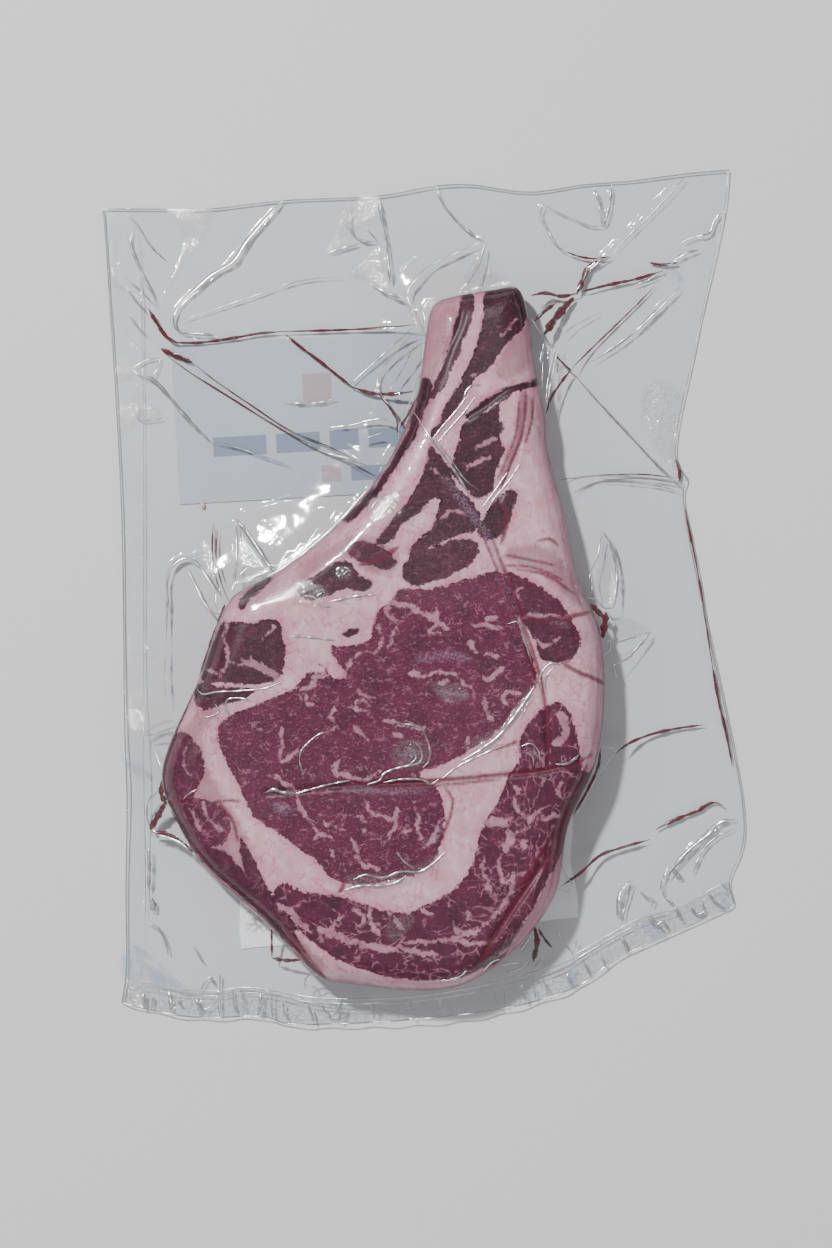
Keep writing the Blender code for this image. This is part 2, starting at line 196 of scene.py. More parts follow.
bagEdgeCoarse = smoothPath(bagTurns, True, packShape["edgeSpacing"])
bagMiddle = (bagEdgeCoarse.min(0) + bagEdgeCoarse.max(0)) / 2


def spots(points):
    # traced points as millimetres in the part's frame
    found = np.array(points, float)
    x = (found[:, 0] - pointMiddle[0]) * pointSize - bagMiddle[0]
    y = (pointMiddle[1] - found[:, 1]) * pointSize - bagMiddle[1]
    return np.column_stack([x, y])


steakLoop = smoothPath(steakTurns, True, 1.0) - bagMiddle
# rings of points just inside the steak's edge, where it is steep, in millimetres
edgeRings = (0.15, 0.5, 1.1, 1.9)
# the film's own corners are cut sharp
sharpTurns = [(-131.8, 157.6), (-132, 159.5), (-130, 159.6)] + bagTurns[1:11]
sharpTurns += [(123.6, 175.4), (125.5, 175.5), (125.4, 173.6)] + bagTurns[12:29]
sharpTurns += [(-122.4, -167.5), (-124, -167), (-123.9, -165.4)] + bagTurns[30:]
bagLoop = smoothPath(sharpTurns, True, 1.6) - bagMiddle


def slowWave(places, first, second, third):
    x = places[:, 0] + bagMiddle[0]
    y = places[:, 1] + bagMiddle[1]
    one = np.sin(x * 0.061 + y * 0.037 + first)
    two = np.sin(-x * 0.043 + y * 0.083 + second)
    three = np.sin(x * 0.131 + y * 0.107 + third)
    return one * 0.45 + two * 0.35 + three * 0.2


def foldsOver(places, folds, sharpness=None):
    # each fold: height, half width in mm, traced path; a sharpness gives it a crisp crest
    total = np.zeros(len(places))
    for height, width, points in folds:
        path = smoothPath(spots(points), False, 3.0)
        away, _ = awayFrom(places, path, width + 1)
        share = np.clip(1 - away / width, 0, 1)
        total += height * (share ** sharpness if sharpness else share * share * (3 - 2 * share))
    return total


# Creases of the face: height, half width, path
faceSeams = [
    (-1.6, 2.6, [(590, 770), (565, 820), (535, 870), (505, 915), (480, 955)]),
    (-1.2, 2.0, [(270, 790), (355, 783), (440, 779), (500, 773), (545, 768), (590, 755)]),
    (-1.2, 2.2, [(492, 540), (510, 590), (535, 670), (543, 700), (547, 760)]),
    (-1.0, 2.6, [(285, 925), (300, 945), (325, 975)]),
    (-0.9, 2.4, [(464, 305), (458, 330), (448, 352), (438, 378)]),
    (-0.9, 2.4, [(533, 385), (505, 393), (485, 408), (466, 420)]),
    (-0.9, 2.2, [(525, 395), (520, 440), (505, 480), (497, 500)]),
    (-0.6, 2.5, [(560, 662), (580, 674), (603, 684)]),
]


def steakTop(places, withSeams=True):
    x = places[:, 0] + bagMiddle[0]
    y = places[:, 1] + bagMiddle[1]
    tail = np.clip((y - packShape["tailStart"]) / packShape["tailLength"], 0, 1)
    (lobeX, lobeY), (acrossLobe, alongLobe) = packShape["leftLobeStart"], packShape["leftLobeReach"]
    left = np.clip((lobeX - x) / acrossLobe, 0, 1) * np.clip((lobeY - y) / alongLobe, 0, 1)
    crown = packShape["eyeHeight"] + (packShape["tailHeight"] - packShape["eyeHeight"]) * tail
    crown += -packShape["leftLobeDrop"] * left - 0.6 + slowWave(places, 0.4, 1.9, 2.6) * 0.6
    away = np.maximum(depthIn(places, steakLoop, 14.0), 0)
    share = np.clip(away / packShape["topRounding"], 0, 1)
    power = packShape["roundness"]
    bulge = (1 - (1 - share) ** power) ** (1 / power)
    heights = packShape["bellyHeight"] + (crown - packShape["bellyHeight"]) * bulge
    if withSeams:
        heights += foldsOver(places, faceSeams) * np.clip((away - 2) / 8, 0, 1)
    return heights


def labelReach(places, label):
    centre, right, down = labelFrame(label)
    local = places - centre
    across = np.abs(local @ right) - label["size"][0] / 2
    along = np.abs(local @ down) - label["size"][1] / 2
    return np.maximum(across, along)


def steakBottom(places):
    away = np.maximum(depthIn(places, steakLoop, 14.0), 0)
    share = np.clip(away / packShape["bottomRounding"], 0, 1)
    power = packShape["roundness"]
    height = packShape["bellyHeight"] * (1 - (1 - (1 - share) ** power) ** (1 / power))
    near = np.minimum(labelReach(places, cardLabel), labelReach(places, lowerLabel))
    start, end = packShape["recessReach"]
    recess = packShape["labelRecess"] * np.clip((end - near) / (end - start), 0, 1)
    return np.maximum(height, recess)


def labelFrame(label):
    angle = math.radians(label["turn"])
    right = np.array([math.cos(angle), math.sin(angle)])
    down = np.array([math.sin(angle), -math.cos(angle)])
    corner = np.array(label["corner"]) - bagMiddle
    return corner + right * label["size"][0] / 2 + down * label["size"][1] / 2, right, down


def trianglesOver(loop, inner):
    # triangles that fill the loop, with their corners at the inner places too
    points = np.concatenate([loop, inner])
    edges = [(index, (index + 1) % len(loop)) for index in range(len(loop))]
    rim = len(loop)
    flat = [Vector((x, y)) for x, y in points.tolist()]
    found, _, faces, origin, _, _ = delaunay_2d_cdt(flat, edges, [], 0, 1e-5)
    places = np.array([(point.x, point.y) for point in found])
    corners = np.array([list(face) for face in faces])
    centres = places[corners].mean(1)
    corners = corners[depthIn(centres, loop, 1.0) > 0]
    ends = places[corners]
    first, second = ends[:, 1] - ends[:, 0], ends[:, 2] - ends[:, 0]
    flipped = first[:, 0] * second[:, 1] - first[:, 1] * second[:, 0] < 0
    corners[flipped] = corners[flipped][:, ::-1]
    used = np.unique(corners)
    renumber = np.full(len(places), -1)
    renumber[used] = np.arange(len(used))
    rimIndex = np.full(rim, -1)
    for old in used.tolist():
        for source in origin[old]:
            if source < rim:
                rimIndex[source] = renumber[old]
    return places[used], renumber[corners], rimIndex


def makePiece(name, points, faces, materials, body="root", smooth=True):
    mesh = bpy.data.meshes.new(name)
    faces = faces.tolist() if hasattr(faces, "tolist") else faces
    mesh.from_pydata((np.asarray(points) * 0.001).tolist(), [], faces)
    for made in materials:
        mesh.materials.append(made)
    if smooth:
        mesh.polygons.foreach_set("use_smooth", [True] * len(mesh.polygons))
    piece = bpy.data.objects.new(name, mesh)
    bpy.context.scene.collection.objects.link(piece)
    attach(piece, body)
    return piece


def giveField(piece, name, values):
    field = piece.data.attributes.new(name, "FLOAT", "POINT")
    field.data.foreach_set("value", np.asarray(values, np.float32))


# Shader nodes as plain sums: a wire is a socket that can be added, multiplied and compared
class Wire:
    def __init__(self, shader, socket):
        self.shader = shader
        self.socket = socket

    def by(self, operation, *others):
        links = {index: other for index, other in enumerate((self,) + others)}
        return self.shader.node("ShaderNodeMath", {"operation": operation}, links)

    def __add__(self, other):
        return self.by("ADD", other)

    def __sub__(self, other):
        return self.by("SUBTRACT", other)

    def __mul__(self, other):
        return self.by("MULTIPLY", other)

    def __rsub__(self, other):
        return self.shader.node("ShaderNodeMath", {"operation": "SUBTRACT"}, {0: other, 1: self})

    def __abs__(self):
        return self.by("ABSOLUTE")

    __radd__ = __add__
    __rmul__ = __mul__

    def most(self, other):
        return self.by("MAXIMUM", other)

    def between(self, low, high):
        # 0 below low, 1 above high, smooth between; low may be the larger one
        settings = {"interpolation_type": "SMOOTHSTEP"}
        if low < high:
            return self.shader.node("ShaderNodeMapRange", settings, {0: self, 1: low, 2: high})
        return 1 - self.shader.node("ShaderNodeMapRange", settings, {0: self, 1: high, 2: low})


class Shader:
    def __init__(self, name):
        self.material = bpy.data.materials.new(name)
        self.material.use_nodes = True
        self.tree = self.material.node_tree
        self.tree.nodes.clear()

    def node(self, kind, settings=None, links=None, out=0):
        made = self.tree.nodes.new(kind)
        for name, value in (settings or {}).items():
            setattr(made, name, value)
        for name, value in (links or {}).items():
            if isinstance(value, Wire):
                self.tree.links.new(value.socket, made.inputs[name])
            else:
                made.inputs[name].default_value = value
        return Wire(self, made.outputs[out]) if len(made.outputs) else None

    def field(self, name):
        return self.node("ShaderNodeAttribute", {"attribute_name": name}, None, 2)

    def place(self, scale=(1, 1, 1)):
        # object position in millimetres, stretched by the scale
        at = self.node("ShaderNodeTexCoord", None, None, 3)
        size = tuple(1000 * value for value in scale)
        return self.node("ShaderNodeVectorMath", {"operation": "MULTIPLY"}, {0: at, 1: size})

    def noise(self, place, scale, detail=3.0, rough=0.55):
        links = {"Vector": place, "Scale": scale, "Detail": detail, "Roughness": rough}
        return self.node("ShaderNodeTexNoise", None, links)

    def warped(self, place, scale, amount):
        links = {"Vector": place, "Scale": scale, "Detail": 2.0}
        drift = self.node("ShaderNodeTexNoise", None, links, 1)
        middle = self.node("ShaderNodeVectorMath", {"operation": "SUBTRACT"}, {0: drift, 1: (0.5, 0.5, 0.5)})
        sized = self.node("ShaderNodeVectorMath", {"operation": "SCALE"}, {0: middle, "Scale": amount})
        return self.node("ShaderNodeVectorMath", {"operation": "ADD"}, {0: place, 1: sized})

    def cells(self, place, scale, feature="DISTANCE_TO_EDGE"):
        links = {"Vector": place, "Scale": scale}
        return self.node("ShaderNodeTexVoronoi", {"feature": feature}, links)

    def blend(self, factor, first, second):
        first = first if isinstance(first, Wire) else (*first, 1.0)
        second = second if isinstance(second, Wire) else (*second, 1.0)
        return self.node("ShaderNodeMix", {"data_type": "RGBA"}, {0: factor, 6: first, 7: second}, 2)

    def bump(self, height, distance, strength=1.0):
        links = {"Height": height, "Distance": distance, "Strength": strength}
        return self.node("ShaderNodeBump", None, links)

    def finish(self, surface):
        self.node("ShaderNodeOutputMaterial", None, {"Surface": surface})
        return self.material


def principled(shader, colour, roughness, normal=None, **more):
    links = {"Base Color": colour, "Roughness": roughness}
    if normal is not None:
        links["Normal"] = normal
    for name, value in more.items():
        links[name.replace("_", " ")] = value
    return shader.node("ShaderNodeBsdfPrincipled", None, links)


# Labels behind the pack: top left corner in millimetres, size, turn in degrees
labelLift = 0.02
cardLabel = {
    "corner": (-103.9, 103.1),
    "size": (146.0, 65.3),
    "turn": 3.3,
    "thick": 0.4,
    "colour": (0.42, 0.45, 0.47),
    "shadeColour": (0.36, 0.39, 0.41),
    "bars": [(-58, -36, 6, 14), (-32, -14, 6, 14), (-10, 2, 6, 14), (6, 30, 6, 14), (-2, 20, 21, 27)],
    "marks": [(-20, -8, -18, -6), (-14, -6, 20, 27)],
    "barColour": (0.045, 0.10, 0.20),
    "markColour": (0.30, 0.11, 0.13),
}
lowerLabel = {
    "corner": (-81.0, -79.2),
    "size": (139.2, 66.0),
    "turn": 5.4,
    "thick": 0.4,
    "colour": (0.88, 0.885, 0.89),
    "shadeColour": (0.70, 0.72, 0.735),
    "stain": (-66, -58, 18, 26),
    "stainColour": (0.17, 0.07, 0.05),
    "edgeWave": 1.3,
}

# Muscles of the cut face: darkness, flecks, veins, outline in points
muscles = [
    (0.42, 1.0, 0.0, [
        (400, 590), (425, 589), (450, 585), (480, 575), (500, 573), (511, 587), (520, 635), (531, 660),
        (535, 680), (515, 705), (500, 726), (478, 743), (450, 760), (418, 772), (435, 785), (442, 800),
        (444, 822), (438, 848), (425, 866), (400, 876), (360, 881), (335, 876), (318, 858), (297, 842),
        (270, 823), (252, 810), (246, 792), (230, 762), (220, 738), (224, 721), (248, 708), (275, 697),
        (297, 687), (310, 672), (326, 672), (325, 665), (312, 661), (328, 668), (334, 680), (347, 676),
        (336, 660), (332, 647), (350, 646), (372, 638), (374, 624), (380, 610), (390, 604)]),
    (0.60, 0.4, 0.1, [
        (505, 573), (520, 578), (550, 594), (568, 616), (578, 640), (572, 656), (556, 662), (540, 658),
        (533, 640), (519, 618), (509, 592)]),
    (0.52, 0.2, 1.0, [
        (543, 706), (558, 702), (570, 716), (577, 745), (582, 770), (590, 772), (572, 825), (549, 872),
        (525, 915), (502, 955), (478, 967), (440, 976), (400, 974), (365, 966), (335, 953), (305, 930),
        (290, 908), (276, 888), (284, 880), (305, 887), (325, 891), (345, 892), (360, 899), (385, 906),
        (405, 909), (430, 899), (455, 884), (468, 868), (476, 848), (482, 822), (497, 800), (507, 775),
        (518, 758), (518, 738), (530, 718)]),
    (0.78, 0.2, 0.2, [
        (228, 622), (250, 623), (279, 621), (286, 640), (286, 665), (281, 678), (262, 684), (225, 682),
        (203, 680), (208, 655), (220, 630)]),
    (0.75, 0.2, 0.3, [
        (198, 684), (225, 686), (258, 689), (250, 697), (228, 703), (205, 709), (196, 700)]),
    (0.55, 0.3, 0.3, [
        (168, 742), (181, 731), (194, 736), (203, 748), (207, 762), (204, 778), (197, 791), (186, 797),
        (170, 798), (160, 788), (159, 770), (163, 754)]),
    (0.50, 0.3, 0.45, [
        (166, 802), (188, 797), (204, 797), (217, 800), (227, 808), (233, 822), (230, 836), (222, 843),
        (210, 846), (198, 852), (188, 840), (176, 822)]),
    (0.62, 0.3, 0.25, [
        (198, 842), (214, 846), (228, 848), (238, 858), (250, 874), (262, 886), (272, 898), (284, 912),
        (296, 930), (306, 950), (298, 948), (280, 932), (258, 908), (236, 888), (214, 870), (200, 852)]),
    (0.66, 0.2, 0.3, [
        (243, 836), (250, 845), (262, 868), (268, 882), (280, 895), (292, 912), (300, 928), (290, 926),
        (276, 908), (258, 888), (246, 866)]),
    # the tail's strips, and below them the dark side, meat painted extra dark as shade
    (0.80, 0.2, 0.1, [
        (461, 297), (474, 297), (473, 312), (469, 330), (461, 350), (453, 370), (446, 386), (437, 398),
        (430, 404), (434, 386), (442, 366), (450, 346), (455, 326), (459, 310)]),
    (0.92, 0.3, 0.1, [
        (484, 294), (500, 290), (519, 291), (525, 300), (527, 317), (523, 331), (513, 339), (505, 349),
        (497, 360), (491, 369), (480, 378), (468, 394), (456, 412), (444, 428), (432, 441), (431, 436),
        (438, 424), (445, 409), (456, 390), (466, 372), (475, 352), (480, 330), (483, 312)]),
    (0.90, 0.1, 0.0, [
        (536, 380), (526, 384), (514, 388), (502, 391), (491, 398), (478, 407), (466, 421), (471, 422),
        (482, 416), (492, 408), (502, 404), (512, 397), (524, 391), (536, 388)]),
    (0.86, 0.3, 0.0, [
        (463, 426), (470, 421), (482, 417), (492, 407), (499, 404), (499, 414), (501, 430), (499, 444),
        (503, 452), (500, 462), (495, 474), (494, 488), (489, 496), (476, 499), (462, 488), (452, 474),
        (454, 458), (459, 440)]),
    # painted shade: dark meat along the concave edge, the steak's shaded side
    (0.90, 0.2, 0.0, [
        (424, 378), (432, 388), (430, 402), (423, 418), (416, 436), (407, 452), (398, 466), (388, 482),
        (374, 500), (360, 516), (348, 524), (342, 521), (358, 505), (374, 487), (388, 468), (400, 446),
        (410, 424), (418, 398)]),
    (0.88, 0.4, 0.2, [
        (430, 446), (440, 458), (450, 474), (455, 490), (448, 500), (434, 500), (424, 510), (408, 522),
        (395, 538), (386, 546), (376, 545), (384, 532), (398, 514), (410, 500), (420, 482), (426, 464)]),
    (0.84, 0.4, 0.2, [
        (452, 488), (466, 498), (476, 510), (481, 522), (474, 533), (462, 536), (448, 541), (434, 546),
        (420, 556), (411, 562), (408, 554), (418, 541), (430, 531), (436, 518), (440, 504)]),
    (0.74, 0.4, 0.2, [
        (403, 568), (412, 558), (425, 551), (440, 546), (454, 541), (467, 539), (477, 546), (476, 556),
        (470, 566), (456, 573), (442, 579), (428, 584), (412, 587), (404, 580)]),
    (0.90, 0.3, 0.1, [
        (481, 522), (488, 510), (498, 499), (508, 492), (516, 494), (512, 508), (509, 521), (502, 534),
        (491, 541), (480, 539), (476, 533)]),
    (0.88, 0.3, 0.1, [
        (298, 592), (306, 582), (318, 576), (328, 568), (340, 562), (351, 563), (358, 574), (374, 582),
        (368, 591), (354, 591), (340, 592), (326, 597), (312, 602)]),
    (0.80, 0.2, 0.1, [(240, 606), (250, 590), (262, 580), (276, 574), (272, 582), (262, 592),
        (252, 602), (246, 610)]),
    (0.76, 0.1, 0.0, [(342, 635), (350, 629), (362, 629), (358, 634), (348, 637)]),
    (0.70, 0.2, 0.3, [
        (366, 542), (380, 548), (392, 556), (398, 564), (388, 570), (372, 568), (356, 560), (348, 552),
        (356, 544)]),
]

# Fat that runs through the muscles: half width in points, path
fatStrokes = [
    (4.5, [(244, 660), (258, 664), (270, 670), (284, 680)]),
    (1.6, [(230, 618), (227, 640), (231, 658), (222, 678)]),
    (1.4, [(230, 660), (242, 664), (253, 655)]),
    (2.0, [(262, 640), (270, 634), (277, 626)]),
    (1.4, [(207, 668), (218, 672), (230, 665)]),
    (3.6, [(386, 604), (405, 605), (420, 612), (436, 620)]),
    (2.4, [(436, 608), (437, 622), (430, 632), (440, 634)]),
    (2.0, [(437, 622), (447, 630)]),
    (3.2, [(388, 606), (389, 616), (398, 620)]),
    (1.4, [(400, 621), (392, 640), (388, 652)]),
    (1.8, [(379, 624), (382, 640), (379, 648)]),
    (2.0, [(348, 672), (351, 660), (362, 652)]),
    (1.2, [(362, 652), (372, 652), (382, 648)]),
    (2.6, [(472, 624), (485, 626), (503, 630)]),
    (1.4, [(478, 624), (488, 620), (496, 616)]),
    (2.2, [(468, 640), (472, 648), (477, 652)]),
    (2.0, [(485, 655), (499, 655)]),
    (3.0, [(502, 668), (495, 672), (489, 678), (480, 676)]),
    (3.6, [(410, 672), (420, 676)]),
    (1.4, [(420, 676), (435, 672), (450, 672), (457, 676)]),
    (2.0, [(438, 682), (447, 679)]),
    (2.6, [(461, 678), (466, 684), (471, 687)]),
    (2.6, [(500, 696), (508, 691), (518, 692)]),
    (1.8, [(500, 696), (506, 705)]),
    (3.4, [(482, 698), (486, 708), (490, 721)]),
    (2.2, [(468, 750), (466, 742), (470, 735)]),
    (2.0, [(360, 688), (364, 695), (376, 696)]),
    (1.4, [(352, 704), (362, 710), (369, 703), (362, 699), (352, 703)]),
    (1.6, [(336, 708), (331, 716), (337, 722), (330, 730)]),
    (2.4, [(356, 724), (362, 732), (368, 738)]),
    (1.8, [(385, 718), (398, 722), (412, 725), (424, 727)]),
    (4.0, [(393, 732), (402, 735)]),
    (2.4, [(342, 756), (336, 764), (338, 772), (350, 774), (363, 780)]),
    (1.8, [(363, 780), (373, 773), (382, 768)]),
    (2.6, [(283, 727), (284, 742), (281, 760)]),
    (2.0, [(281, 760), (292, 756), (298, 748)]),
    (2.2, [(275, 772), (281, 778), (292, 784), (300, 792)]),
    (2.6, [(302, 690), (312, 687), (318, 676), (330, 673)]),
    (1.8, [(308, 690), (307, 700), (313, 704)]),
    (1.4, [(300, 694), (302, 700)]),
    (2.0, [(300, 792), (300, 804), (312, 818), (317, 828)]),
    (1.8, [(317, 836), (320, 830), (330, 835), (335, 838)]),
    (3.0, [(333, 845), (334, 853)]),
    (2.4, [(368, 801), (371, 810), (386, 814), (396, 818)]),
    (2.6, [(396, 804), (396, 818), (392, 830), (388, 838)]),
    (2.6, [(353, 836), (358, 848), (360, 858), (372, 864), (381, 867)]),
    (1.6, [(357, 812), (368, 822), (363, 828)]),
    (1.8, [(412, 798), (417, 808), (418, 826), (423, 838)]),
    (1.4, [(404, 828), (412, 826)]),
    (1.4, [(325, 818), (336, 824), (345, 826)]),
    (2.4, [(425, 845), (434, 835), (438, 820)]),
    (2.6, [(518, 600), (515, 592), (522, 588)]),
    (2.0, [(516, 619), (540, 615), (562, 617), (578, 615)]),
    (2.6, [(535, 640), (542, 645), (556, 640)]),
    (6.0, [(556, 712), (563, 722), (562, 735), (552, 742)]),
    (6.0, [(485, 822), (496, 818), (506, 824)]),
    (5.5, [(507, 824), (509, 838), (503, 848)]),
    (2.2, [(512, 832), (524, 826), (531, 814), (536, 808)]),
    (2.4, [(536, 808), (542, 818), (549, 814), (558, 812)]),
    (2.0, [(522, 812), (512, 800), (517, 790), (510, 782)]),
    (2.6, [(523, 846), (521, 838), (526, 836)]),
    (2.0, [(560, 778), (556, 790), (562, 798)]),
    (2.0, [(500, 850), (498, 868), (506, 880), (512, 868)]),
    (2.8, [(512, 868), (510, 886), (502, 902), (488, 918)]),
    (2.6, [(488, 918), (470, 928), (456, 926), (452, 918)]),
    (2.6, [(468, 930), (445, 935), (420, 937), (400, 938)]),
    (2.2, [(500, 934), (478, 939), (450, 936)]),
    (4.2, [(318, 924), (345, 934), (372, 942), (400, 946)]),
    (3.2, [(400, 942), (420, 948), (436, 950)]),
    (4.0, [(278, 900), (293, 908), (302, 918), (312, 926)]),
    (2.6, [(330, 925), (338, 916), (344, 912)]),
    (2.4, [(480, 858), (484, 872), (492, 882)]),
    (4.0, [(484, 880), (490, 886)]),
    (2.6, [(466, 905), (468, 915)]),
    (2.0, [(370, 902), (372, 918), (380, 932)]),
    (2.0, [(388, 908), (398, 918), (404, 926)]),
    (1.8, [(352, 905), (366, 912), (360, 922)]),
    (1.6, [(420, 905), (432, 912)]),
    (1.6, [(545, 880), (551, 870)]),
    (2.2, [(520, 925), (512, 940), (500, 950)]),
    (1.6, [(190, 745), (186, 760), (194, 775)]),
    (2.0, [(205, 800), (212, 818), (225, 828)]),
    (1.8, [(193, 806), (200, 822), (212, 834)]),
    (2.6, [(476, 452), (484, 444), (496, 440)]),
    (1.8, [(466, 470), (480, 462), (494, 460)]),
    (2.0, [(500, 340), (508, 330), (516, 322)]),
    (2.0, [(492, 372), (480, 380), (470, 378)]),
    (1.6, [(432, 470), (442, 480)]),
    (1.6, [(440, 520), (452, 512), (462, 516)]),
]

# Juice under the film on the face: half width in points, path
faceJuice = [
    (3.8, [(592, 768), (578, 795), (562, 828), (545, 858), (528, 882), (505, 915), (480, 955)]),
    (1.3, [(585, 764), (572, 790), (556, 822), (538, 852), (518, 884)]),
    (1.5, [(352, 779), (372, 781), (400, 780), (440, 778), (500, 773), (545, 768), (570, 763), (590, 753)]),
    (0.8, [(380, 786), (440, 783), (500, 777)]),
    (1.3, [(492, 540), (500, 562), (511, 590), (523, 628), (536, 668), (543, 700), (546, 730), (547, 762)]),
    (0.8, [(478, 528), (490, 556), (503, 590), (514, 622), (527, 655), (535, 680)]),
    (1.7, [(560, 662), (575, 671), (590, 677), (604, 684)]),
    (3.6, [(288, 926), (298, 940), (310, 958), (326, 978)]),
    (0.9, [(445, 785), (452, 797), (450, 812), (444, 828), (436, 845)]),
    (1.0, [(525, 395), (524, 415), (520, 440), (510, 465), (500, 490)]),
    (0.8, [(532, 400), (530, 425), (524, 445)]),
    (0.7, [(518, 404), (516, 430), (508, 455), (497, 480)]),
    (1.8, [(200, 786), (186, 798), (170, 802)]),
    (1.0, [(515, 740), (505, 744), (492, 748)]),
    (1.5, [(340, 888), (344, 884), (345, 878)]),
    (0.8, [(216, 800), (232, 798), (242, 799)]),
    (1.0, [(240, 838), (236, 820), (222, 800)]),
    (1.8, [(399, 548), (380, 560), (360, 566)]),
    (1.4, [(500, 500), (506, 520), (500, 545)]),
    (0.7, [(505, 556), (525, 560), (552, 566)]),
    (0.7, [(500, 566), (530, 568), (560, 580)]),
    (0.7, [(516, 570), (545, 576), (572, 594)]),
    (0.7, [(536, 542), (548, 540), (556, 546)]),
    (1.6, [(512, 612), (535, 620), (560, 618), (590, 612)]),
]

# Painted sheen: grey glimmer of loose film, painted into the face's colour as a reflection: half width in
# points, path
paintedFaceSheen = [
    (5.0, [(445, 480), (468, 512), (488, 540), (500, 575), (512, 610), (524, 645)]),
    (3.6, [(345, 788), (390, 789), (425, 788)]),
    (3.4, [(530, 612), (548, 620), (566, 626)]),
    (4.0, [(425, 842), (436, 832), (440, 822)]),
    (4.0, [(437, 690), (455, 692), (468, 695)]),
    (6.5, [(404, 752), (418, 752)]),
    (6.0, [(275, 803), (292, 808)]),
    (5.0, [(418, 660), (440, 655), (470, 658)]),
    (4.0, [(522, 750), (534, 752)]),
]

# Fat that looks dusky where it lies thin over meat, and painted shade darkening the fat on the steak's shaded
# side
duskAndShadePatches = [
    [(430, 311), (440, 302), (456, 298), (459, 312), (456, 330), (448, 352), (438, 376), (429, 388),
     (423, 362), (425, 336)],
    [(556, 826), (572, 800), (566, 832), (556, 872), (544, 900), (528, 924), (514, 938), (526, 910),
     (540, 880), (550, 850)],
    [(166, 770), (178, 742), (214, 690), (222, 712), (206, 735), (214, 770), (232, 800), (250, 834),
     (262, 872), (300, 930), (330, 962), (318, 972), (262, 918), (220, 882), (188, 842), (168, 800)],
    [(520, 545), (545, 548), (566, 566), (578, 592), (588, 612), (574, 606), (552, 588), (524, 568),
     (500, 560)],
    [(298, 572), (330, 545), (352, 536), (372, 538), (400, 556), (396, 572), (376, 578), (352, 560),
     (328, 566), (304, 584)],
    [(505, 330), (520, 322), (528, 334), (532, 360), (520, 378), (500, 384), (492, 372), (500, 352)],
    [(400, 420), (430, 380), (436, 410), (420, 440), (404, 462), (386, 486), (372, 492), (388, 456)],
    [(520, 394), (532, 396), (534, 420), (520, 455), (502, 490), (498, 476), (510, 444)],
]

print("shapes traced")


def strokeDepth(places, strokes, widen=1.0, spacing=1.0, crooked=0.0):
    # how deep each place lies inside the strokes, which taper at both ends and may run crooked
    across, along = places[:, 0], places[:, 1]
    turns = np.column_stack([
        np.sin(along * 0.85 + across * 0.35) + 0.5 * np.sin(along * 1.9 - across * 0.7),
        np.sin(across * 0.75 - along * 0.40) + 0.5 * np.sin(across * 1.7 + along * 0.9),
    ])
    bent = places + crooked * turns
    best = np.full(len(places), -6.0)
    for half, points in strokes:
        path = smoothPath(spots(points), False, spacing)
        away, share = awayFrom(bent, path, 8.0)
        taper = np.clip(np.minimum(share, 1 - share) * 5 + 0.35, 0, 1)
        best = np.maximum(best, half * pointSize * taper * widen - away)
    return best


def faceFields(places):
    fields = {}
    meat = np.full(len(places), -8.0)
    weight = np.zeros(len(places))
    sums = [np.zeros(len(places)) for _ in range(3)]
    for dark, flecks, veins, outline in muscles:
        loop = smoothPath(spots(outline), True, 1.6)
        depth = depthIn(places, loop, 8.0)
        meat = np.maximum(meat, depth)
        share = np.clip(depth + 1.2, 0, 1)
        weight += share
        for total, value in zip(sums, (dark, flecks, veins)):
            total += share * value
    for name, total in zip(("dark", "flecks", "veins"), sums):
        fields[name] = total / np.maximum(weight, 1e-6)
    fields["meat"] = meat
    fields["fat"] = strokeDepth(places, fatStrokes, 0.64, crooked=0.38)
    fields["juice"] = strokeDepth(places, faceJuice)
    # where the painted reflection of loose film lies on the face
    fields["paintedSheen"] = strokeDepth(places, paintedFaceSheen, 0.8)
    fields["rim"] = depthIn(places, steakLoop, 20.0)
    # dusky thin fat, and painted shade on the steak's shaded side
    duskAndShade = np.full(len(places), -6.0)
    for outline in duskAndShadePatches:
        duskAndShade = np.maximum(duskAndShade, depthIn(places, smoothPath(spots(outline), True, 2.0), 6.0))
    fields["duskAndShade"] = duskAndShade
    upwardStart, upwardEnd = spots([(470, 0), (540, 0)])[:, 0]
    fields["upward"] = np.clip((places[:, 0] - upwardStart) / (upwardEnd - upwardStart), 0, 1)
    return fields


steakLook = {
    "fat": (0.49, 0.275, 0.325),
    "fatBlush": (0.40, 0.135, 0.205),
    "fatPale": (0.56, 0.385, 0.43),
    "meat": (0.092, 0.0105, 0.0345),
    "meatDark": (0.024, 0.0045, 0.011),
    "vein": (0.30, 0.125, 0.175),
    "stroke": (0.40, 0.19, 0.25),
    "juice": (0.085, 0.0045, 0.019),
    # dusky fat colour, also used as painted shade on the shaded side
    "duskAndShade": (0.18, 0.062, 0.090),
    # painted reflection: grey sheen of loose film
    "paintedSheen": (0.26, 0.20, 0.27),
    # painted shade of the steak's steep side
    "side": (0.085, 0.010, 0.024),
    "roughness": 0.38,
    "shine": 0.22,
    "grid": 0.86,
    "lowGrid": 1.5,
}


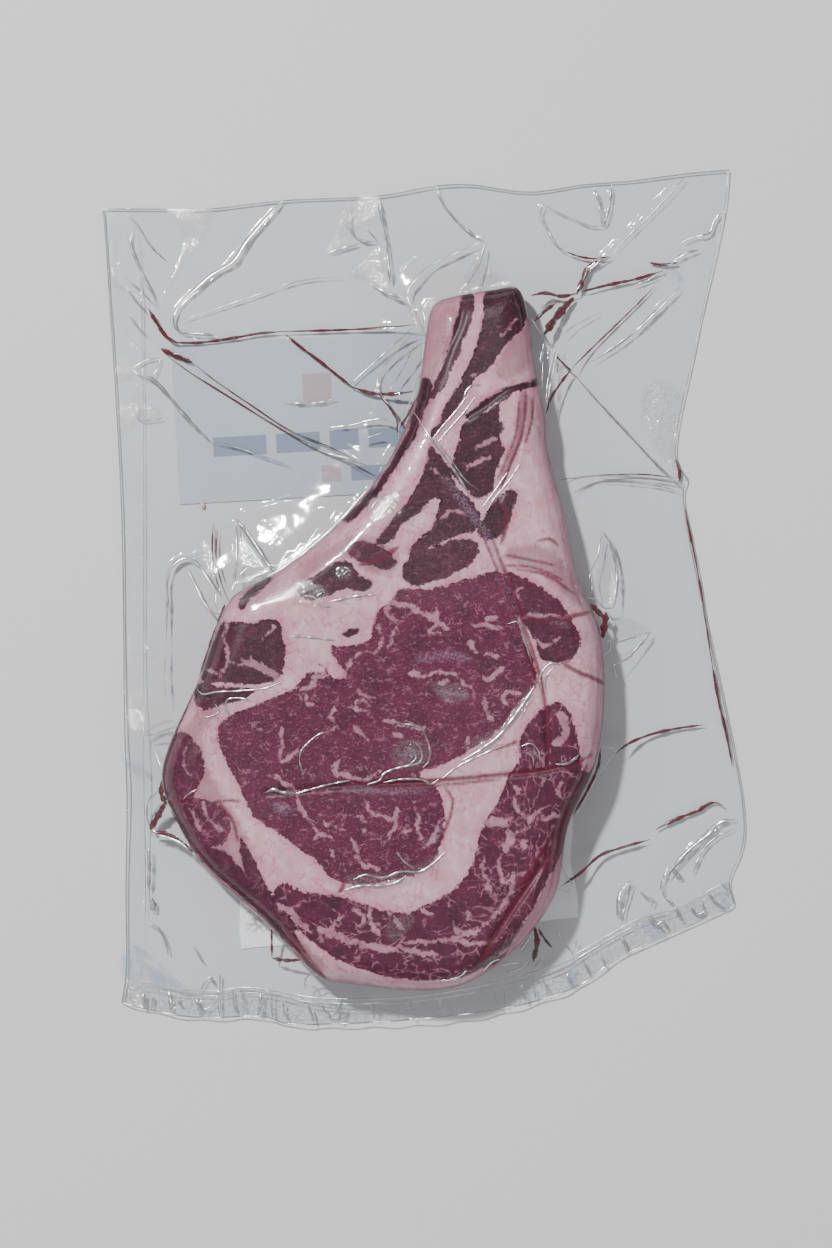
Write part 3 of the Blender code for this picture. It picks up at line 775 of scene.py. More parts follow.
def meatMaterial():
    shader = Shader("marbledMeat")
    place = shader.place()
    drift = shader.warped(place, 0.10, 6.0)
    small = shader.warped(place, 0.45, 2.2)
    coarse = shader.noise(place, 0.13, 4.0, 0.6)
    grain = shader.noise(place, 1.2, 4.0, 0.65)
    rough = shader.noise(small, 0.62, 4.0, 0.68) - 0.5
    lobes = shader.noise(drift, 0.20, 2.0) - 0.5
    meat = (shader.field("meat") + rough * 3.4 + lobes * 3.0).between(-0.25, 0.30)
    fat = (shader.field("fat") + rough * 4.0 + lobes * 1.8).between(-0.50, 0.25)
    # flecks of the eye: soft short dashes, fine specks and broken lines
    wide = shader.warped(shader.place((0.60, 1.20, 1.0)), 0.30, 3.0)
    dashes = shader.noise(wide, 0.55, 3.0, 0.65).between(0.57, 0.71)
    specks = shader.noise(small, 1.3, 2.0, 0.6).between(0.54, 0.74)
    lines = abs(shader.noise(drift, 0.15, 3.0, 0.55) - 0.5).between(0.020, 0.002)
    broken = shader.noise(place, 0.22, 3.0).between(0.48, 0.60)
    flecks = (dashes * 0.75).most(specks * 0.5).most(lines * broken * 0.75) * shader.field("flecks")
    # feathered lines of fat that run along the outer muscle, which turns upward at its right end
    feathers = []
    for stretch in ((0.62, 1.30, 1.0), (1.30, 0.62, 1.0)):
        bent = shader.warped(shader.place(stretch), 0.14, 4.5)
        feathers.append(abs(shader.noise(bent, 0.105, 3.5, 0.56) - 0.5).between(0.020, 0.002))
    upward = shader.field("upward")
    feather = feathers[0] * (1 - upward) + feathers[1] * upward
    cells = shader.cells(shader.warped(place, 0.16, 5.0), 0.13)
    webbing = cells.between(0.060, 0.005) * shader.noise(place, 0.20, 3.0).between(0.48, 0.62)
    patchy = shader.noise(place, 0.11, 3.0).between(0.38, 0.56)
    veins = (feather * patchy).most(webbing) * shader.field("veins").between(0.0, 0.8)
    tone = (shader.field("dark") + (coarse - 0.5) * 1.2 + (grain - 0.5) * 0.5).between(0.05, 1.05)
    colour = shader.blend(tone, steakLook["meat"], steakLook["meatDark"])
    speckle = grain.between(0.48, 0.75) * 0.18
    colour = shader.blend(speckle, colour, steakLook["vein"])
    meatColour = shader.blend(flecks.most(veins * 0.92) * 0.80, colour, steakLook["vein"])
    meatColour = shader.blend(fat * (0.45 + lobes * 1.6), meatColour, steakLook["stroke"])
    blush = shader.noise(drift, 0.085, 5.0, 0.6).between(0.42, 0.70)
    fibres = shader.noise(shader.warped(shader.place((1.0, 0.45, 1.0)), 0.1, 9.0), 0.28, 4.0, 0.6)
    threads = abs(shader.noise(drift, 0.06, 4.0, 0.6) - 0.5).between(0.018, 0.0)
    nearMeat = shader.field("meat").between(-4.0, -0.3) * 0.55
    fatColour = shader.blend(fibres.between(0.42, 0.66) * 0.75, steakLook["fat"], steakLook["fatPale"])
    blushing = blush * 0.42 + threads * 0.62 + nearMeat * grain.between(0.3, 0.6)
    fatColour = shader.blend(blushing, fatColour, steakLook["fatBlush"])
    # dusky fat where it is thin over meat, and painted shade on the steak's shaded side
    duskyAndShaded = (shader.field("duskAndShade") + rough * 4.0 + lobes * 4.0).between(-1.2, 2.2)
    fatColour = shader.blend(duskyAndShaded * 0.58, fatColour, steakLook["duskAndShade"])
    colour = shader.blend(meat * (1 - fat * 0.25), fatColour, meatColour)
    # painted reflection: a grey sheen of loose film mixed into the face's colour
    paintedSheen = shader.field("paintedSheen").between(-1.4, 1.4) * grain.between(0.38, 0.66) * 0.45
    colour = shader.blend(paintedSheen, colour, steakLook["paintedSheen"])
    edgeBlush = shader.field("rim").between(9.0, 2.0) * coarse.between(0.30, 0.60) * (1 - meat) * 0.45
    colour = shader.blend(edgeBlush, colour, steakLook["fatBlush"])
    # painted shade: the steak's steep lower side darkened toward the outline
    rim = shader.field("rim").between(1.7, 0.1) * 0.6
    colour = shader.blend(rim, colour, steakLook["side"])
    juiceField = shader.field("juice") + rough * 1.2
    colour = shader.blend(juiceField.between(-0.9, 0.35) * 0.80, colour, steakLook["juice"])
    inFat = shader.field("meat").between(0.4, -0.4)
    relief = shader.noise(place, 1.2, 2.0, 0.65) * 0.25 + shader.noise(place, 0.16, 2.0, 0.5) * inFat * 1.7
    height = relief + inFat * 0.25
    normal = shader.bump(height, 0.0006, 0.6)
    more = {"Specular_IOR_Level": steakLook["shine"]}
    return shader.finish(principled(shader, colour, steakLook["roughness"], normal, **more))


def buildSteak():
    rings = [moved(steakLoop, -depth) for depth in edgeRings]
    faces = []
    points = []
    for spacing, heights in ((steakLook["grid"], steakTop), (steakLook["lowGrid"], steakBottom)):
        grid = staggered(steakLoop, spacing)
        grid = grid[depthIn(grid, steakLoop, 4.0) > 2.4]
        places, corners, rim = trianglesOver(steakLoop, np.concatenate(rings + [grid]))
        points.append((places, heights(places), corners, rim))
    topPlaces, topHeights, topCorners, topRim = points[0]
    lowPlaces, lowHeights, lowCorners, lowRim = points[1]
    renumber = np.arange(len(lowPlaces)) + len(topPlaces)
    renumber[lowRim] = topRim
    allPlaces = np.concatenate([topPlaces, lowPlaces])
    allHeights = np.concatenate([topHeights, lowHeights])
    corners = np.concatenate([topCorners, renumber[lowCorners][:, ::-1]])
    used = np.unique(corners)
    order = np.full(len(allPlaces), -1)
    order[used] = np.arange(len(used))
    allPlaces, allHeights = allPlaces[used], allHeights[used]
    points = np.column_stack([allPlaces, allHeights])
    piece = makePiece("marbledSteak", points, order[corners], [meatMaterial()])
    for name, values in faceFields(allPlaces).items():
        giveField(piece, name, values)
    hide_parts("steak")
    print("steak:", len(piece.data.vertices), "vertices")
    return piece


# Folds of the film: height, half width in mm, path in points
filmFolds = [
    (3.0, 4.0, [(150, 310), (190, 360), (310, 430), (375, 470)]),
    (1.4, 3.5, [(176, 344), (280, 331), (412, 328)]),
    (1.6, 3.5, [(290, 340), (347, 383), (395, 394)]),
    (2.4, 4.5, [(112, 275), (146, 306)]),
    (1.8, 4.5, [(120, 373), (152, 379), (203, 436), (275, 460)]),
    (2.4, 4.5, [(283, 202), (235, 260), (175, 318), (205, 334)]),
    (2.6, 5.0, [(380, 200), (388, 265), (402, 298)]),
    (1.8, 4.0, [(437, 190), (482, 238), (416, 280), (412, 312)]),
    (1.8, 4.0, [(485, 243), (466, 284)]),
    (2.0, 4.0, [(543, 205), (565, 250), (590, 258)]),
    (2.2, 4.0, [(684, 178), (605, 255), (580, 285)]),
    (1.8, 3.5, [(597, 192), (604, 224), (611, 190)]),
    (2.0, 4.0, [(562, 294), (600, 285), (665, 270), (704, 234)]),
    (2.6, 4.0, [(574, 366), (634, 332), (678, 290)]),
    (2.8, 4.5, [(566, 362), (610, 412), (662, 468)]),
    (2.2, 3.5, [(566, 480), (600, 477), (655, 477), (682, 484)]),
    (3.0, 4.0, [(603, 533), (617, 570), (613, 605)]),
    (2.6, 4.0, [(610, 642), (650, 633), (615, 663)]),
    (2.4, 4.0, [(606, 752), (650, 740), (716, 726)]),
    (2.6, 4.0, [(574, 878), (650, 838), (726, 808)]),
    (2.6, 4.0, [(728, 824), (690, 850), (664, 884), (672, 904)]),
    (2.4, 3.5, [(630, 884), (619, 905), (622, 922)]),
    (2.6, 4.5, [(166, 690), (166, 610), (170, 570), (188, 558), (214, 588)]),
    (2.4, 4.0, [(232, 590), (237, 522), (270, 566)]),
    (1.8, 4.0, [(245, 512), (300, 500), (350, 503)]),
    (2.4, 4.0, [(144, 736), (160, 726), (178, 722)]),
    (2.4, 4.0, [(150, 790), (148, 828), (175, 842), (198, 858)]),
    (1.8, 4.0, [(149, 850), (149, 890), (153, 908)]),
    (1.8, 4.0, [(150, 924), (162, 934), (168, 954)]),
    (1.8, 4.0, [(560, 936), (572, 950)]),
]

slimFolds = [(height, width * 0.72, points) for height, width, points in filmFolds]

# Sharp pleats that catch the light: half width in points, path
pleats = [
    (1.1, [(128, 215), (136, 223), (150, 245), (166, 260)]),
    (1.6, [(132, 228), (130, 242), (134, 256), (146, 281), (153, 295), (156, 306)]),
    (1.0, [(125, 277), (140, 290), (154, 304)]),
    (1.4, [(127, 288), (135, 300), (146, 311)]),
    (2.2, [(283, 199), (262, 222), (245, 242), (233, 260), (210, 275), (190, 293), (178, 305)]),
    (1.6, [(178, 305), (173, 318), (177, 329), (188, 333), (205, 334), (224, 337)]),
    (1.5, [(128, 313), (136, 325), (146, 336)]),
    (0.9, [(180, 320), (240, 300), (300, 280), (340, 276)]),
    (2.0, [(378, 197), (383, 225), (388, 255), (390, 284)]),
    (1.6, [(350, 213), (352, 232), (362, 240), (377, 241)]),
    (1.8, [(328, 252), (344, 247), (358, 243)]),
    (2.2, [(370, 283), (388, 293), (403, 298)]),
    (1.2, [(366, 228), (372, 234), (377, 240)]),
    (1.5, [(437, 185), (441, 200), (452, 215), (465, 228), (484, 239)]),
    (1.1, [(484, 240), (468, 247), (448, 256), (430, 265), (416, 278), (408, 290), (409, 305), (416, 324)]),
    (1.5, [(485, 243), (480, 262), (470, 280), (459, 292)]),
    (1.6, [(544, 203), (541, 212), (548, 230), (557, 245), (565, 251)]),
    (1.0, [(545, 205), (570, 217), (590, 225), (605, 226)]),
    (1.8, [(594, 186), (600, 203), (603, 226)]),
    (1.8, [(612, 184), (610, 205), (604, 226)]),
    (1.4, [(588, 270), (602, 260), (612, 256)]),
    (0.9, [(688, 173), (660, 205), (620, 245), (612, 255)]),
    (1.4, [(725, 208), (715, 220), (710, 232), (695, 236), (682, 242)]),
    (1.6, [(672, 262), (685, 253), (700, 249)]),
    (1.6, [(680, 287), (655, 312), (634, 332), (610, 350), (588, 363)]),
    (1.0, [(662, 272), (648, 280), (632, 286)]),
    (0.8, [(600, 312), (575, 325), (562, 335)]),
    (1.3, [(538, 318), (545, 308), (556, 300)]),
    (1.8, [(530, 318), (540, 333), (547, 338)]),
    (1.8, [(547, 338), (543, 350), (540, 364)]),
    (2.0, [(550, 344), (549, 352), (548, 362)]),
    (1.0, [(556, 345), (549, 375), (545, 408)]),
    (0.9, [(560, 340), (553, 372), (547, 404)]),
    (0.9, [(543, 362), (542, 380), (541, 392)]),
    (1.5, [(574, 374), (600, 403), (630, 435), (655, 462), (672, 478), (685, 490)]),
    (1.3, [(559, 488), (575, 479), (592, 476), (625, 476), (655, 479), (683, 484)]),
    (0.9, [(600, 478), (630, 482), (660, 486), (682, 492)]),
    (2.4, [(602, 531), (606, 536), (612, 548), (616, 565), (617, 585), (615, 600), (613, 608)]),
    (1.0, [(602, 533), (598, 555), (590, 575), (592, 590), (585, 598)]),
    (1.2, [(586, 598), (596, 600), (604, 608), (613, 608)]),
    (1.1, [(604, 646), (609, 640), (609, 650), (602, 656)]),
    (1.8, [(651, 632), (640, 645), (628, 658), (613, 665)]),
    (0.9, [(651, 632), (625, 640), (609, 645)]),
    (1.2, [(611, 664), (614, 670), (616, 678)]),
    (1.0, [(600, 746), (610, 748), (617, 748)]),
    (1.1, [(617, 750), (608, 761), (602, 769)]),
    (1.0, [(600, 760), (602, 768), (596, 776)]),
    (1.2, [(597, 775), (586, 796), (573, 818)]),
    (3.0, [(736, 820), (722, 822), (706, 836), (690, 850), (674, 868), (666, 880)]),
    (1.4, [(736, 829), (720, 836), (706, 848), (698, 862), (693, 876)]),
    (1.4, [(668, 868), (662, 885), (665, 897), (676, 906)]),
    (3.0, [(673, 868), (678, 876), (683, 880)]),
    (2.0, [(631, 881), (622, 890), (618, 905), (619, 920)]),
    (1.5, [(631, 882), (629, 895), (625, 910), (622, 922)]),
    (1.6, [(640, 892), (647, 898), (654, 900), (652, 908)]),
    (2.0, [(690, 906), (697, 915), (705, 912), (701, 902)]),
    (2.0, [(708, 892), (716, 903), (726, 910)]),
    (1.6, [(722, 884), (727, 890), (724, 896)]),
    (1.2, [(137, 403), (137, 418), (150, 420), (162, 418)]),
    (2.4, [(131, 368), (140, 375), (152, 379), (165, 392), (180, 410), (195, 427), (210, 441)]),
    (1.2, [(210, 441), (240, 448), (262, 456), (290, 466)]),
    (1.0, [(151, 378), (157, 368), (160, 357)]),
    (0.9, [(160, 357), (145, 360), (131, 368)]),
    (1.6, [(282, 401), (300, 403), (320, 402), (336, 398)]),
    (1.3, [(330, 427), (350, 425), (370, 420), (385, 419), (398, 425)]),
    (1.0, [(362, 440), (372, 436), (382, 433)]),
    (1.4, [(350, 384), (370, 366), (395, 343), (413, 328)]),
    (1.1, [(386, 399), (378, 390), (378, 376), (387, 362), (402, 345), (415, 331)]),
    (0.9, [(388, 392), (405, 365), (418, 338)]),
    (1.3, [(300, 440), (325, 452), (345, 458), (368, 466)]),
    (1.8, [(143, 735), (152, 727), (163, 722), (178, 720)]),
    (1.1, [(144, 736), (160, 732), (180, 725)]),
    (1.8, [(166, 640), (167, 600), (167, 580), (172, 566), (183, 558), (195, 561), (205, 573), (215, 590)]),
    (1.3, [(184, 563), (194, 583), (204, 603), (213, 613), (220, 613), (216, 604), (216, 590)]),
    (1.0, [(166, 700), (165, 675), (166, 645)]),
    (2.8, [(236, 519), (245, 531), (257, 548), (268, 564), (276, 571)]),
    (1.6, [(236, 520), (237, 545), (236, 570), (232, 594)]),
    (1.6, [(240, 574), (250, 566), (262, 566)]),
    (1.2, [(160, 790), (149, 800), (147, 815), (150, 828)]),
    (1.0, [(164, 800), (155, 812), (148, 828)]),
    (1.0, [(152, 744), (158, 758), (163, 775)]),
    (1.2, [(147, 835), (165, 836), (180, 842), (192, 852), (203, 864)]),
    (2.2, [(148, 848), (149, 870), (148, 890)]),
    (3.4, [(150, 898), (153, 905), (151, 911)]),
    (1.6, [(147, 923), (158, 929), (165, 943), (168, 956)]),
    (1.4, [(194, 948), (199, 957), (203, 964)]),
    (1.1, [(305, 990), (306, 978), (313, 973), (322, 976)]),
    (1.1, [(306, 984), (316, 988), (322, 998)]),
    (1.3, [(322, 996), (330, 992), (338, 998)]),
    (1.4, [(556, 932), (563, 941), (570, 951)]),
    (1.2, [(574, 944), (577, 940), (576, 948)]),
    (1.2, [(520, 950), (527, 940), (532, 934)]),
    (2.2, [(537, 952), (541, 960), (534, 969)]),
    (1.2, [(500, 965), (515, 962), (528, 965)]),
    (1.2, [(505, 972), (520, 968), (530, 958)]),
    # over the face
    (1.6, [(374, 520), (372, 508), (380, 500), (392, 500), (400, 508)]),
    (1.2, [(384, 516), (388, 508), (396, 514)]),
    (1.8, [(330, 602), (345, 599), (360, 596), (378, 595)]),
    (1.2, [(306, 596), (316, 598), (322, 606), (332, 607)]),
    (1.3, [(290, 636), (310, 637), (336, 640)]),
    (1.1, [(198, 687), (204, 693), (220, 691), (240, 690), (268, 687), (284, 681)]),
    (1.4, [(234, 715), (228, 707), (230, 699), (242, 697), (256, 701)]),
    (1.0, [(202, 708), (204, 715), (214, 715), (222, 710), (218, 703)]),
    (1.3, [(301, 758), (303, 749), (311, 740), (320, 733), (330, 730)]),
    (1.0, [(301, 758), (303, 766), (306, 773)]),
    (1.5, [(385, 718), (402, 722), (420, 726), (426, 736), (430, 750), (428, 760), (423, 765)]),
    (1.0, [(412, 738), (420, 746), (422, 756), (417, 763)]),
    (1.0, [(405, 745), (412, 748), (416, 756), (410, 762)]),
    (3.0, [(533, 685), (521, 704), (508, 722), (496, 736), (480, 748), (462, 758)]),
    (1.3, [(500, 744), (478, 754), (458, 764), (442, 776)]),
    (2.4, [(268, 790), (276, 787), (284, 790), (298, 791)]),
    (1.3, [(298, 791), (315, 786), (335, 781), (352, 778)]),
    (1.6, [(368, 782), (380, 778), (384, 772), (394, 767), (412, 763), (424, 760)]),
    (1.5, [(384, 780), (402, 777), (424, 778), (430, 782), (438, 777)]),
    (2.0, [(346, 886), (362, 882), (382, 882), (398, 878), (406, 872)]),
    (1.6, [(354, 876), (366, 871), (384, 874), (400, 868), (420, 868), (434, 859), (444, 849)]),
    (1.3, [(397, 848), (404, 858), (415, 865)]),
    (1.3, [(540, 690), (538, 676), (548, 663), (558, 664)]),
    (1.0, [(545, 692), (543, 678), (551, 667)]),
    (1.7, [(414, 414), (430, 440), (446, 461), (460, 482), (471, 498), (485, 500)]),
    (1.0, [(434, 440), (450, 461), (465, 482), (478, 492)]),
    (1.2, [(432, 442), (442, 429), (456, 413), (467, 398)]),
    (1.1, [(438, 444), (450, 430), (464, 414), (474, 400)]),
    (1.2, [(463, 402), (466, 393), (472, 388), (480, 388)]),
    (1.2, [(486, 512), (494, 499), (508, 482), (520, 464)]),
    (1.0, [(482, 508), (494, 492), (506, 474)]),
    (1.2, [(506, 624), (516, 622), (522, 638), (530, 662)]),
    (1.5, [(553, 762), (563, 762), (572, 757), (577, 752)]),
    (1.0, [(520, 744), (530, 742), (537, 750), (538, 762)]),
    (1.0, [(524, 750), (531, 755), (532, 764)]),
    (1.0, [(527, 700), (520, 716)]),
    (1.3, [(440, 976), (455, 974), (466, 966)]),
    (1.2, [(482, 968), (492, 958), (500, 956)]),
    (1.2, [(186, 797), (193, 791), (200, 787)]),
    (1.2, [(458, 293), (465, 292), (474, 296)]),
    (1.4, [(233, 597), (254, 584), (279, 570), (304, 552), (329, 531), (351, 508), (370, 487)]),
    (1.1, [(398, 430), (404, 414), (412, 398), (420, 372), (424, 345)]),
    (1.1, [(420, 306), (424, 318), (424, 330)]),
    (1.3, [(188, 843), (197, 855), (203, 864)]),
    (1.0, [(560, 860), (566, 876), (572, 884), (566, 892), (558, 888)]),
    (1.0, [(556, 878), (564, 880), (573, 876)]),
]

# Pale patches of crinkled film, as outlines
crinklePatches = [
    [(168, 207), (214, 207), (198, 246), (174, 280), (158, 304), (176, 262), (182, 240)],
    [(102, 262), (120, 278), (126, 292), (112, 286)],
    [(350, 198), (380, 196), (384, 222), (360, 226), (344, 250), (326, 254), (336, 228)],
    [(380, 244), (388, 262), (390, 290), (372, 284), (345, 274), (362, 260)],
    [(396, 276), (404, 262), (422, 252), (410, 266)],
    [(482, 252), (494, 270), (516, 288), (490, 292), (460, 292)],
    [(114, 365), (132, 366), (132, 382), (116, 380)],
    [(120, 402), (136, 400), (138, 420), (124, 436)],
    [(134, 404), (160, 408), (162, 419), (136, 418)],
    [(143, 644), (158, 652), (152, 660), (143, 660)],
    [(124, 710), (142, 712), (142, 736), (130, 730)],
    [(236, 524), (272, 568), (246, 582), (234, 592), (240, 560)],
    [(190, 558), (206, 540), (214, 560), (214, 588), (204, 572)],
    [(604, 536), (614, 560), (615, 604), (596, 600), (598, 560)],
    [(612, 616), (651, 631), (606, 646)],
    [(240, 590), (300, 578), (330, 590), (328, 608), (280, 604), (244, 606)],
    [(396, 740), (424, 740), (428, 758), (410, 768), (392, 760)],
    [(430, 684), (458, 682), (470, 696), (448, 704)],
    [(346, 872), (400, 868), (438, 852), (446, 858), (404, 884), (350, 888)],
    [(530, 684), (536, 692), (496, 738), (470, 752), (462, 744), (500, 722)],
    [(366, 500), (402, 498), (404, 516), (372, 524)],
    [(386, 922), (412, 908), (416, 918), (392, 938)],
    [(650, 380), (684, 390), (682, 470), (664, 462), (640, 410)],
    [(336, 568), (352, 568), (352, 580), (338, 580)],
]

# Juice in the film's margin: half width in points, path
marginJuice = [
    (2.6, [(148, 308), (156, 322), (166, 336), (178, 343)]),
    (2.0, [(170, 342), (200, 342), (230, 338), (258, 333), (282, 331)]),
    (1.6, [(278, 331), (320, 330), (370, 328), (416, 325)]),
    (2.0, [(284, 333), (300, 346), (320, 361), (340, 377), (353, 387)]),
    (2.4, [(350, 386), (372, 393), (392, 394), (413, 392)]),
    (2.0, [(378, 393), (389, 406), (397, 420), (398, 436)]),
    (1.0, [(165, 354), (190, 372), (230, 397), (270, 422), (310, 445), (345, 460), (380, 478)]),
    (0.8, [(192, 362), (215, 380), (250, 404), (290, 430), (330, 447), (366, 466)]),
    (3.4, [(160, 348), (175, 355), (192, 362)]),
    (1.4, [(566, 251), (580, 256), (596, 258), (609, 256)]),
    (3.6, [(598, 260), (588, 268), (582, 282), (577, 294)]),
    (2.4, [(577, 293), (562, 296), (545, 293), (531, 296)]),
    (5.0, [(574, 297), (562, 310), (550, 326), (543, 336)]),
    (2.4, [(556, 303), (544, 312), (534, 322)]),
    (2.2, [(582, 291), (610, 284), (638, 278), (664, 270)]),
    (2.0, [(650, 262), (664, 264), (678, 262)]),
    (1.3, [(655, 286), (630, 311), (600, 340), (572, 368)]),
    (1.8, [(572, 368), (560, 384), (550, 400), (546, 414)]),
    (1.4, [(556, 356), (564, 364), (572, 371)]),
    (0.9, [(560, 480), (590, 476), (640, 474), (680, 478)]),
    (2.2, [(676, 458), (680, 470), (679, 483)]),
    (1.2, [(684, 500), (692, 540), (698, 569), (706, 620), (714, 672)]),
    (1.8, [(712, 660), (720, 705), (726, 730), (733, 766)]),
    (1.9, [(614, 754), (630, 743), (650, 735), (676, 729), (704, 725)]),
    (2.0, [(560, 886), (580, 873), (600, 856), (622, 848), (650, 840)]),
    (2.4, [(656, 830), (676, 820), (696, 812), (714, 803), (724, 806)]),
    (4.6, [(606, 612), (604, 626), (602, 638)]),
    (3.2, [(590, 604), (598, 612), (604, 618)]),
    (2.0, [(600, 748), (598, 765), (588, 788), (573, 814)]),
    (1.1, [(213, 522), (212, 550), (216, 578), (222, 596)]),
    (0.9, [(217, 530), (216, 556), (220, 580)]),
    (2.0, [(227, 600), (219, 622), (209, 650), (200, 676)]),
    (1.6, [(196, 690), (186, 712), (176, 735), (168, 755)]),
    (3.6, [(164, 778), (162, 794), (168, 804)]),
    (4.2, [(166, 802), (158, 816), (150, 830)]),
    (3.0, [(152, 832), (168, 834), (184, 842)]),
    (2.2, [(184, 842), (196, 854), (206, 866)]),
    (3.2, [(172, 810), (182, 824), (192, 842)]),
    (3.6, [(534, 926), (537, 942), (533, 962)]),
    (1.8, [(538, 928), (544, 938), (552, 948)]),
    (1.6, [(272, 924), (272, 940), (272, 958)]),
    (2.6, [(272, 958), (286, 960), (300, 959)]),
    (2.0, [(400, 428), (410, 412), (418, 396)]),
]

filmLook = {
    "grid": 1.02,
    "backGrid": 3.4,
    "gap": 0.35,
    "crispness": 1.5,
    "foldScale": 0.55,
    "drape": 11.0,
    "tint": (0.915, 0.925, 0.935),
    "roughness": 0.075,
    "shine": 0.045,
    "pleatShine": 0.40,
    "pleatGlint": 0.50,
    "pleatRoughness": 0.27,
    "pleatWidth": 0.74,
    "patchShine": 0.42,
    "skirtShine": 0.42,
    "sealLine": [
        (125, 980), (155, 986), (188, 991), (220, 991), (242, 988), (274, 991), (307, 997), (350, 999),
        (400, 997), (434, 993), (492, 983), (526, 975), (561, 964), (588, 948), (639, 920), (675, 909),
        (728, 881)],
    "sideSeal": [(137, 215), (141, 300), (143, 500), (143, 700), (145, 860), (145, 960)],
}


def filmSurface(places, withFolds=True):
    away = np.maximum(-depthIn(places, steakLoop, 60.0), 0)
    reach = filmLook["drape"] if withFolds else packShape["filmDrape"]
    drape = np.exp(-((away / reach) ** packShape["filmDrapePower"]))
    rim = np.maximum(depthIn(places, bagLoop, 16.0), 0)
    level = packShape["filmRest"] + slowWave(places, 1.1, 0.2, 3.0) * 0.35
    margin = level + (packShape["bellyHeight"] - level) * drape
    below = (packShape["skirtTop"] - places[:, 1] - bagMiddle[1]) / packShape["skirtFade"]
    skirt = np.clip(below, 0, 1) * np.clip(1 - rim / packShape["skirtDepth"], 0, 1)
    wave = 0.5 + 0.5 * np.sin((places[:, 0] + bagMiddle[0]) * packShape["skirtRate"])
    margin += packShape["skirtHeight"] * skirt * wave
    if withFolds:
        folds = foldsOver(places, slimFolds, filmLook["crispness"])
        margin += folds * filmLook["foldScale"] * np.clip(away / 5, 0, 1) * np.clip(rim / 5, 0.3, 1)
    return margin, away


def frontHeights(places):
    # the front film's height: over the steak's face, and over the margin around it
    margin, _ = filmSurface(places)
    onSteak = depthIn(places, steakLoop, 1.0) > 0
    heights = margin + filmLook["gap"]
    heights[onSteak] = steakTop(places[onSteak], False) + filmLook["gap"]
    return heights


def filmMaterial(name, shine, roughness, patches):
    shader = Shader(name)
    place = shader.place()
    crumple = shader.noise(place, 0.9, 3.0, 0.6)
    fineGrain = shader.noise(place, 2.2, 2.0, 0.6)
    waves = shader.noise(place, 0.05, 2.0)
    glancing = shader.node("ShaderNodeFresnel", None, {"IOR": 1.45})
    weight = glancing * 0.9 + (shine - 0.034)
    height = waves * 3.0
    if not patches and shine > 0.1:
        weight = weight + shader.noise(place, 0.25, 2.0).between(0.40, 0.62) * filmLook["pleatGlint"]
    if patches:
        patch = shader.field("crinkle").between(-0.8, 1.6)
        seal = shader.field("seal").between(-0.2, 0.4)
        skirt = shader.field("skirt").between(-0.2, 0.6)
        loose = shader.field("loose").between(0.5, 3.5)
        emboss = shader.cells(place, 1.25, "F1").between(0.15, 0.55)
        ridges = abs(shader.noise(place, 0.042, 1.0) - 0.5) * 9.0
        weight = weight + patch * fineGrain.between(0.38, 0.66) * filmLook["patchShine"]
        weight = weight + skirt * filmLook["skirtShine"] * crumple.between(0.35, 0.65)
        weight = weight + seal * emboss * 0.05
        tight = shader.noise(shader.warped(place, 0.08, 8.0), 0.11, 3.0, 0.55) * 1.1
        height = (height + ridges) * loose + tight + patch * crumple * 0.9
        height = height + seal * emboss * 0.30 + skirt * crumple * 0.5
    normal = shader.bump(height, 0.0005, 0.7)
    clear = shader.node("ShaderNodeBsdfTransparent", None, {"Color": (*filmLook["tint"], 1.0)})
    mirror = shader.node("ShaderNodeBsdfAnisotropic", None, {"Roughness": roughness, "Normal": normal})
    surface = shader.node("ShaderNodeMixShader", None, {0: weight, 1: clear, 2: mirror})
    return shader.finish(surface)


def ribbonMesh(strokes, heights, lift, rise, spacing, sides, taperEnds=0.12, widen=1.0):
    # low half tubes along the strokes, thin at both ends
    places, ups, faces = [], [], []
    start = 0
    for half, turns in strokes:
        path = smoothPath(spots(turns), False, spacing)
        tangent = np.gradient(path, axis=0)
        tangent /= np.maximum(np.linalg.norm(tangent, axis=1)[:, None], 1e-9)
        normal = np.column_stack([-tangent[:, 1], tangent[:, 0]])
        along = np.linspace(0, 1, len(path))
        ends = np.clip(np.minimum(along, 1 - along) / taperEnds, 0.12, 1) ** 0.7
        wobble = 1 + 0.22 * np.sin(along * 17 + half * 9) + 0.16 * np.sin(along * 41 + half * 5)
        width = half * pointSize * widen * ends * wobble
        count = len(path)
        for angle in np.linspace(0, math.pi, sides):
            places.append(path + normal * (width * math.cos(angle))[:, None])
            ups.append(width * math.sin(angle) * rise)
        for row in range(sides - 1):
            for index in range(count - 1):
                a = start + row * count + index
                faces.append((a, a + 1, a + count + 1, a + count))
        start += sides * count
    places = np.concatenate(places)
    return np.column_stack([places, heights(places) + lift + np.concatenate(ups)]), faces


